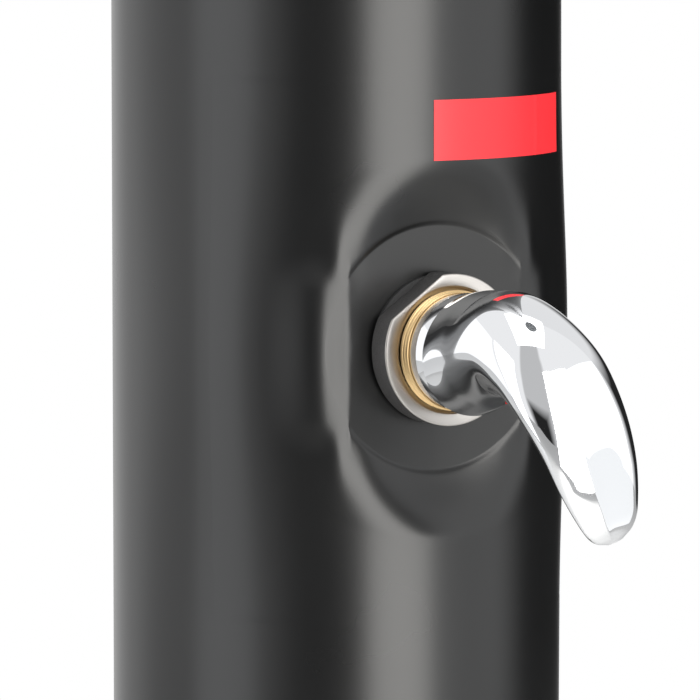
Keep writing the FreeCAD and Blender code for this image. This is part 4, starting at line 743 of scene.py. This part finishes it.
SENSOR_WIDTH = 36.0
WHITE = (1, 1, 1, 1)
SOFT_LIGHT = 0.50       # strength of the white background in diffuse light
FLOOR_COLOUR, FLOOR_ROUGHNESS = (0.80, 0.80, 0.79, 1), 0.7

# Soft boxes: name, bearing from the camera, distance and height, width and tallness, power and
# colour.
LAMPS = (("key_box", 32, 1.9, 1.25, 1.10, 2.3, 45, (1.0, 0.985, 0.95)),
         ("side_box", 71, 1.9, 1.25, 1.55, 2.3, 7.4, (0.97, 0.99, 1.0)),
         ("fill_box", -58, 1.9, 1.25, 1.20, 2.3, 12, (0.96, 0.98, 1.0)),
         ("far_box", -104, 1.9, 1.25, 1.70, 2.3, 3.0, (0.96, 0.98, 1.0)),
         ("top_box", 0, 0.6, 3.4, 1.6, 1.6, 18, (1.0, 1.0, 1.0)))

# Dark cards round the object, as polished and glossy surfaces see them: bearing from the
# camera, half width of the dark part, half width where it has faded out, brightness inside;
# then the card's middle height, half height and half height where it has faded out, all
# three as sines of the elevation, and the brightness above and below it.
CARDS = ((-7, 11, 24, 0.02, -0.10, 0.10, 0.24, 0.60),
         (136, 26, 38, 0.02, -0.20, 0.50, 0.75, 0.90))


def look_along(made, place, direction):
    """Puts a lamp or camera at a place, looking in a direction."""
    made.location = place
    made.rotation_mode = "QUATERNION"
    made.rotation_quaternion = direction.to_track_quat("-Z", "Y")


def add_camera(stage):
    """The camera: its lens fits the frame's width at the tank's axis."""
    a, e = stage.camera_azimuth, stage.camera_elevation
    back = Vector((math.sin(a) * math.cos(e), -math.cos(a) * math.cos(e), math.sin(e)))
    right = Vector((math.cos(a), math.sin(a), 0))
    aim = right * stage.aim_right + Vector((0, 0, stage.aim_height))
    lens = bpy.data.cameras.new("post_camera")
    lens.sensor_width = SENSOR_WIDTH
    lens.lens = SENSOR_WIDTH * stage.camera_distance / stage.frame_width
    camera = add_object("post_camera", lens)
    look_along(camera, aim + back * stage.camera_distance, -back)
    bpy.context.scene.camera = camera


def add_floor(stage):
    """The plain pale floor."""
    half = stage.floor_size / 2
    mesh = bpy.data.meshes.new("floor")
    mesh.from_pydata([(-half, -half, 0), (half, -half, 0), (half, half, 0), (-half, half, 0)],
                     [], [(0, 1, 2, 3)])
    floor = add_object("floor", mesh)
    pale = bpy.data.materials.new("pale_floor")
    pale.use_nodes = True
    shader = pale.node_tree.nodes["Principled BSDF"]
    shader.inputs["Base Color"].default_value = FLOOR_COLOUR
    shader.inputs["Roughness"].default_value = FLOOR_ROUGHNESS
    mesh.materials.append(pale)


def add_lamp(azimuth, name, bearing, distance, height, wide, tall, power, colour):
    """A soft box at a bearing from the camera's azimuth, turned to the mixer."""
    light = bpy.data.lights.new(name, "AREA")
    light.shape = "RECTANGLE"
    light.size, light.size_y = wide, tall
    light.energy = power
    light.color = colour
    angle = azimuth + math.radians(bearing)
    place = Vector((distance * math.sin(angle), -distance * math.cos(angle), height))
    box = add_object(name, light)
    box.visible_camera = False
    look_along(box, place, Vector((0, 0, MIXER_HEIGHT)) - place)


def card_light(tree, level, height, azimuth, card):
    """Background's brightness with one dark card: the larger of what its sides let through, by
    the cosine of the bearing, and what is above and below it, by the height."""
    bearing, inner, outer, low, middle, half_height, faded, beyond = card
    angle = azimuth + math.radians(bearing)
    towards = node(tree, "ShaderNodeVectorMath", {
        0: level, 1: (math.sin(angle), -math.cos(angle), 0)}, operation="DOT_PRODUCT")
    across = node(tree, "ShaderNodeMapRange", {
        "Value": towards.outputs["Value"], "From Min": math.cos(math.radians(outer)),
        "From Max": math.cos(math.radians(inner)), "To Min": 1.0, "To Max": low})
    apart = node(tree, "ShaderNodeMath", {0: height, 1: middle}, operation="SUBTRACT")
    steep = node(tree, "ShaderNodeMath", {0: apart.outputs[0]}, operation="ABSOLUTE")
    upright = node(tree, "ShaderNodeMapRange", {
        "Value": steep.outputs[0], "From Min": half_height, "From Max": faded,
        "To Min": 0.0, "To Max": beyond})
    larger = node(tree, "ShaderNodeMath", {0: across.outputs["Result"],
                                           1: upright.outputs["Result"]}, operation="MAXIMUM")
    return larger.outputs[0]


def studio_world(azimuth):
    """White to the camera and through glass, softer in diffuse light, and with dark cards in
    glossy reflections."""
    world = bpy.data.worlds.new("studio")
    world.use_nodes = True
    tree = world.node_tree
    tree.nodes.clear()
    place = node(tree, "ShaderNodeTexCoord").outputs["Generated"]
    flat = node(tree, "ShaderNodeVectorMath", {0: place, 1: (1, 1, 0)}, operation="MULTIPLY")
    level = node(tree, "ShaderNodeVectorMath", {0: flat.outputs[0]}, operation="NORMALIZE")
    height = node(tree, "ShaderNodeSeparateXYZ", {0: place})
    lights = [card_light(tree, level.outputs[0], height.outputs["Z"], azimuth, card)
              for card in CARDS]
    both = node(tree, "ShaderNodeMath", dict(enumerate(lights)), operation="MULTIPLY")
    seen = node(tree, "ShaderNodeBackground", {"Color": WHITE, "Strength": 1.0})
    soft = node(tree, "ShaderNodeBackground", {"Color": WHITE, "Strength": SOFT_LIGHT})
    mirrored = node(tree, "ShaderNodeBackground", {"Color": WHITE, "Strength": both.outputs[0]})
    ray = node(tree, "ShaderNodeLightPath").outputs
    unseen = node(tree, "ShaderNodeMixShader", {
        0: ray["Is Glossy Ray"], 1: soft.outputs[0], 2: mirrored.outputs[0]})
    direct = node(tree, "ShaderNodeMath", {
        0: ray["Is Camera Ray"], 1: ray["Is Transmission Ray"]}, operation="MAXIMUM")
    either = node(tree, "ShaderNodeMixShader", {
        0: direct.outputs[0], 1: unseen.outputs[0], 2: seen.outputs[0]})
    node(tree, "ShaderNodeOutputWorld", {"Surface": either.outputs[0]})
    return world


class POST_OT_stage(bpy.types.Operator):
    """Camera, pale floor, lamps and background"""
    bl_idname = "post.stage"
    bl_label = "Stage"

    def execute(self, context):
        stage = context.scene.post_stage
        add_camera(stage)
        add_floor(stage)
        for lamp in LAMPS:
            add_lamp(stage.camera_azimuth, *lamp)
        context.scene.world = studio_world(stage.camera_azimuth)
        context.scene.view_settings.view_transform = "Standard"
        return {"FINISHED"}


# ---------------------------------------------------------------- add-on

class POST_PT_panel(bpy.types.Panel):
    """The post's pieces and their sizes and colours"""
    bl_label = "Outdoor shower post"
    bl_idname = "POST_PT_panel"
    bl_space_type = "VIEW_3D"
    bl_region_type = "UI"
    bl_category = "Shower post"

    def draw(self, context):
        for operator in OPERATORS:
            self.layout.operator(operator.bl_idname)
        for name, _ in SETTINGS:
            box = self.layout.box()
            group = getattr(context.scene, name)
            for key in group.bl_rna.properties.keys():
                if key not in {"rna_type", "name"}:
                    box.prop(group, key)


OPERATORS = (POST_OT_stage, POST_OT_dress, POST_OT_tank, POST_OT_mixer, POST_OT_patch,
             POST_OT_lever)
SETTINGS = (("post_stage", StageSettings), ("post_tank", TankSettings),
            ("post_mixer", MixerSettings), ("post_lever", LeverSettings),
            ("post_finish", FinishSettings))


def register():
    """Registers the settings, the operators and the panel."""
    for name, group in SETTINGS:
        bpy.utils.register_class(group)
        setattr(bpy.types.Scene, name, bpy.props.PointerProperty(type=group))
    for operator in OPERATORS:
        bpy.utils.register_class(operator)
    bpy.utils.register_class(POST_PT_panel)


def unregister():
    """Takes back what register added."""
    bpy.utils.unregister_class(POST_PT_panel)
    for operator in reversed(OPERATORS):
        bpy.utils.unregister_class(operator)
    for name, group in reversed(SETTINGS):
        delattr(bpy.types.Scene, name)
        bpy.utils.unregister_class(group)


def main():
    """Builds the stage and every piece."""
    register()
    for operator in OPERATORS:
        family, name = operator.bl_idname.split(".")
        getattr(getattr(bpy.ops, family), name)()


if __name__ == "__main__":
    main()
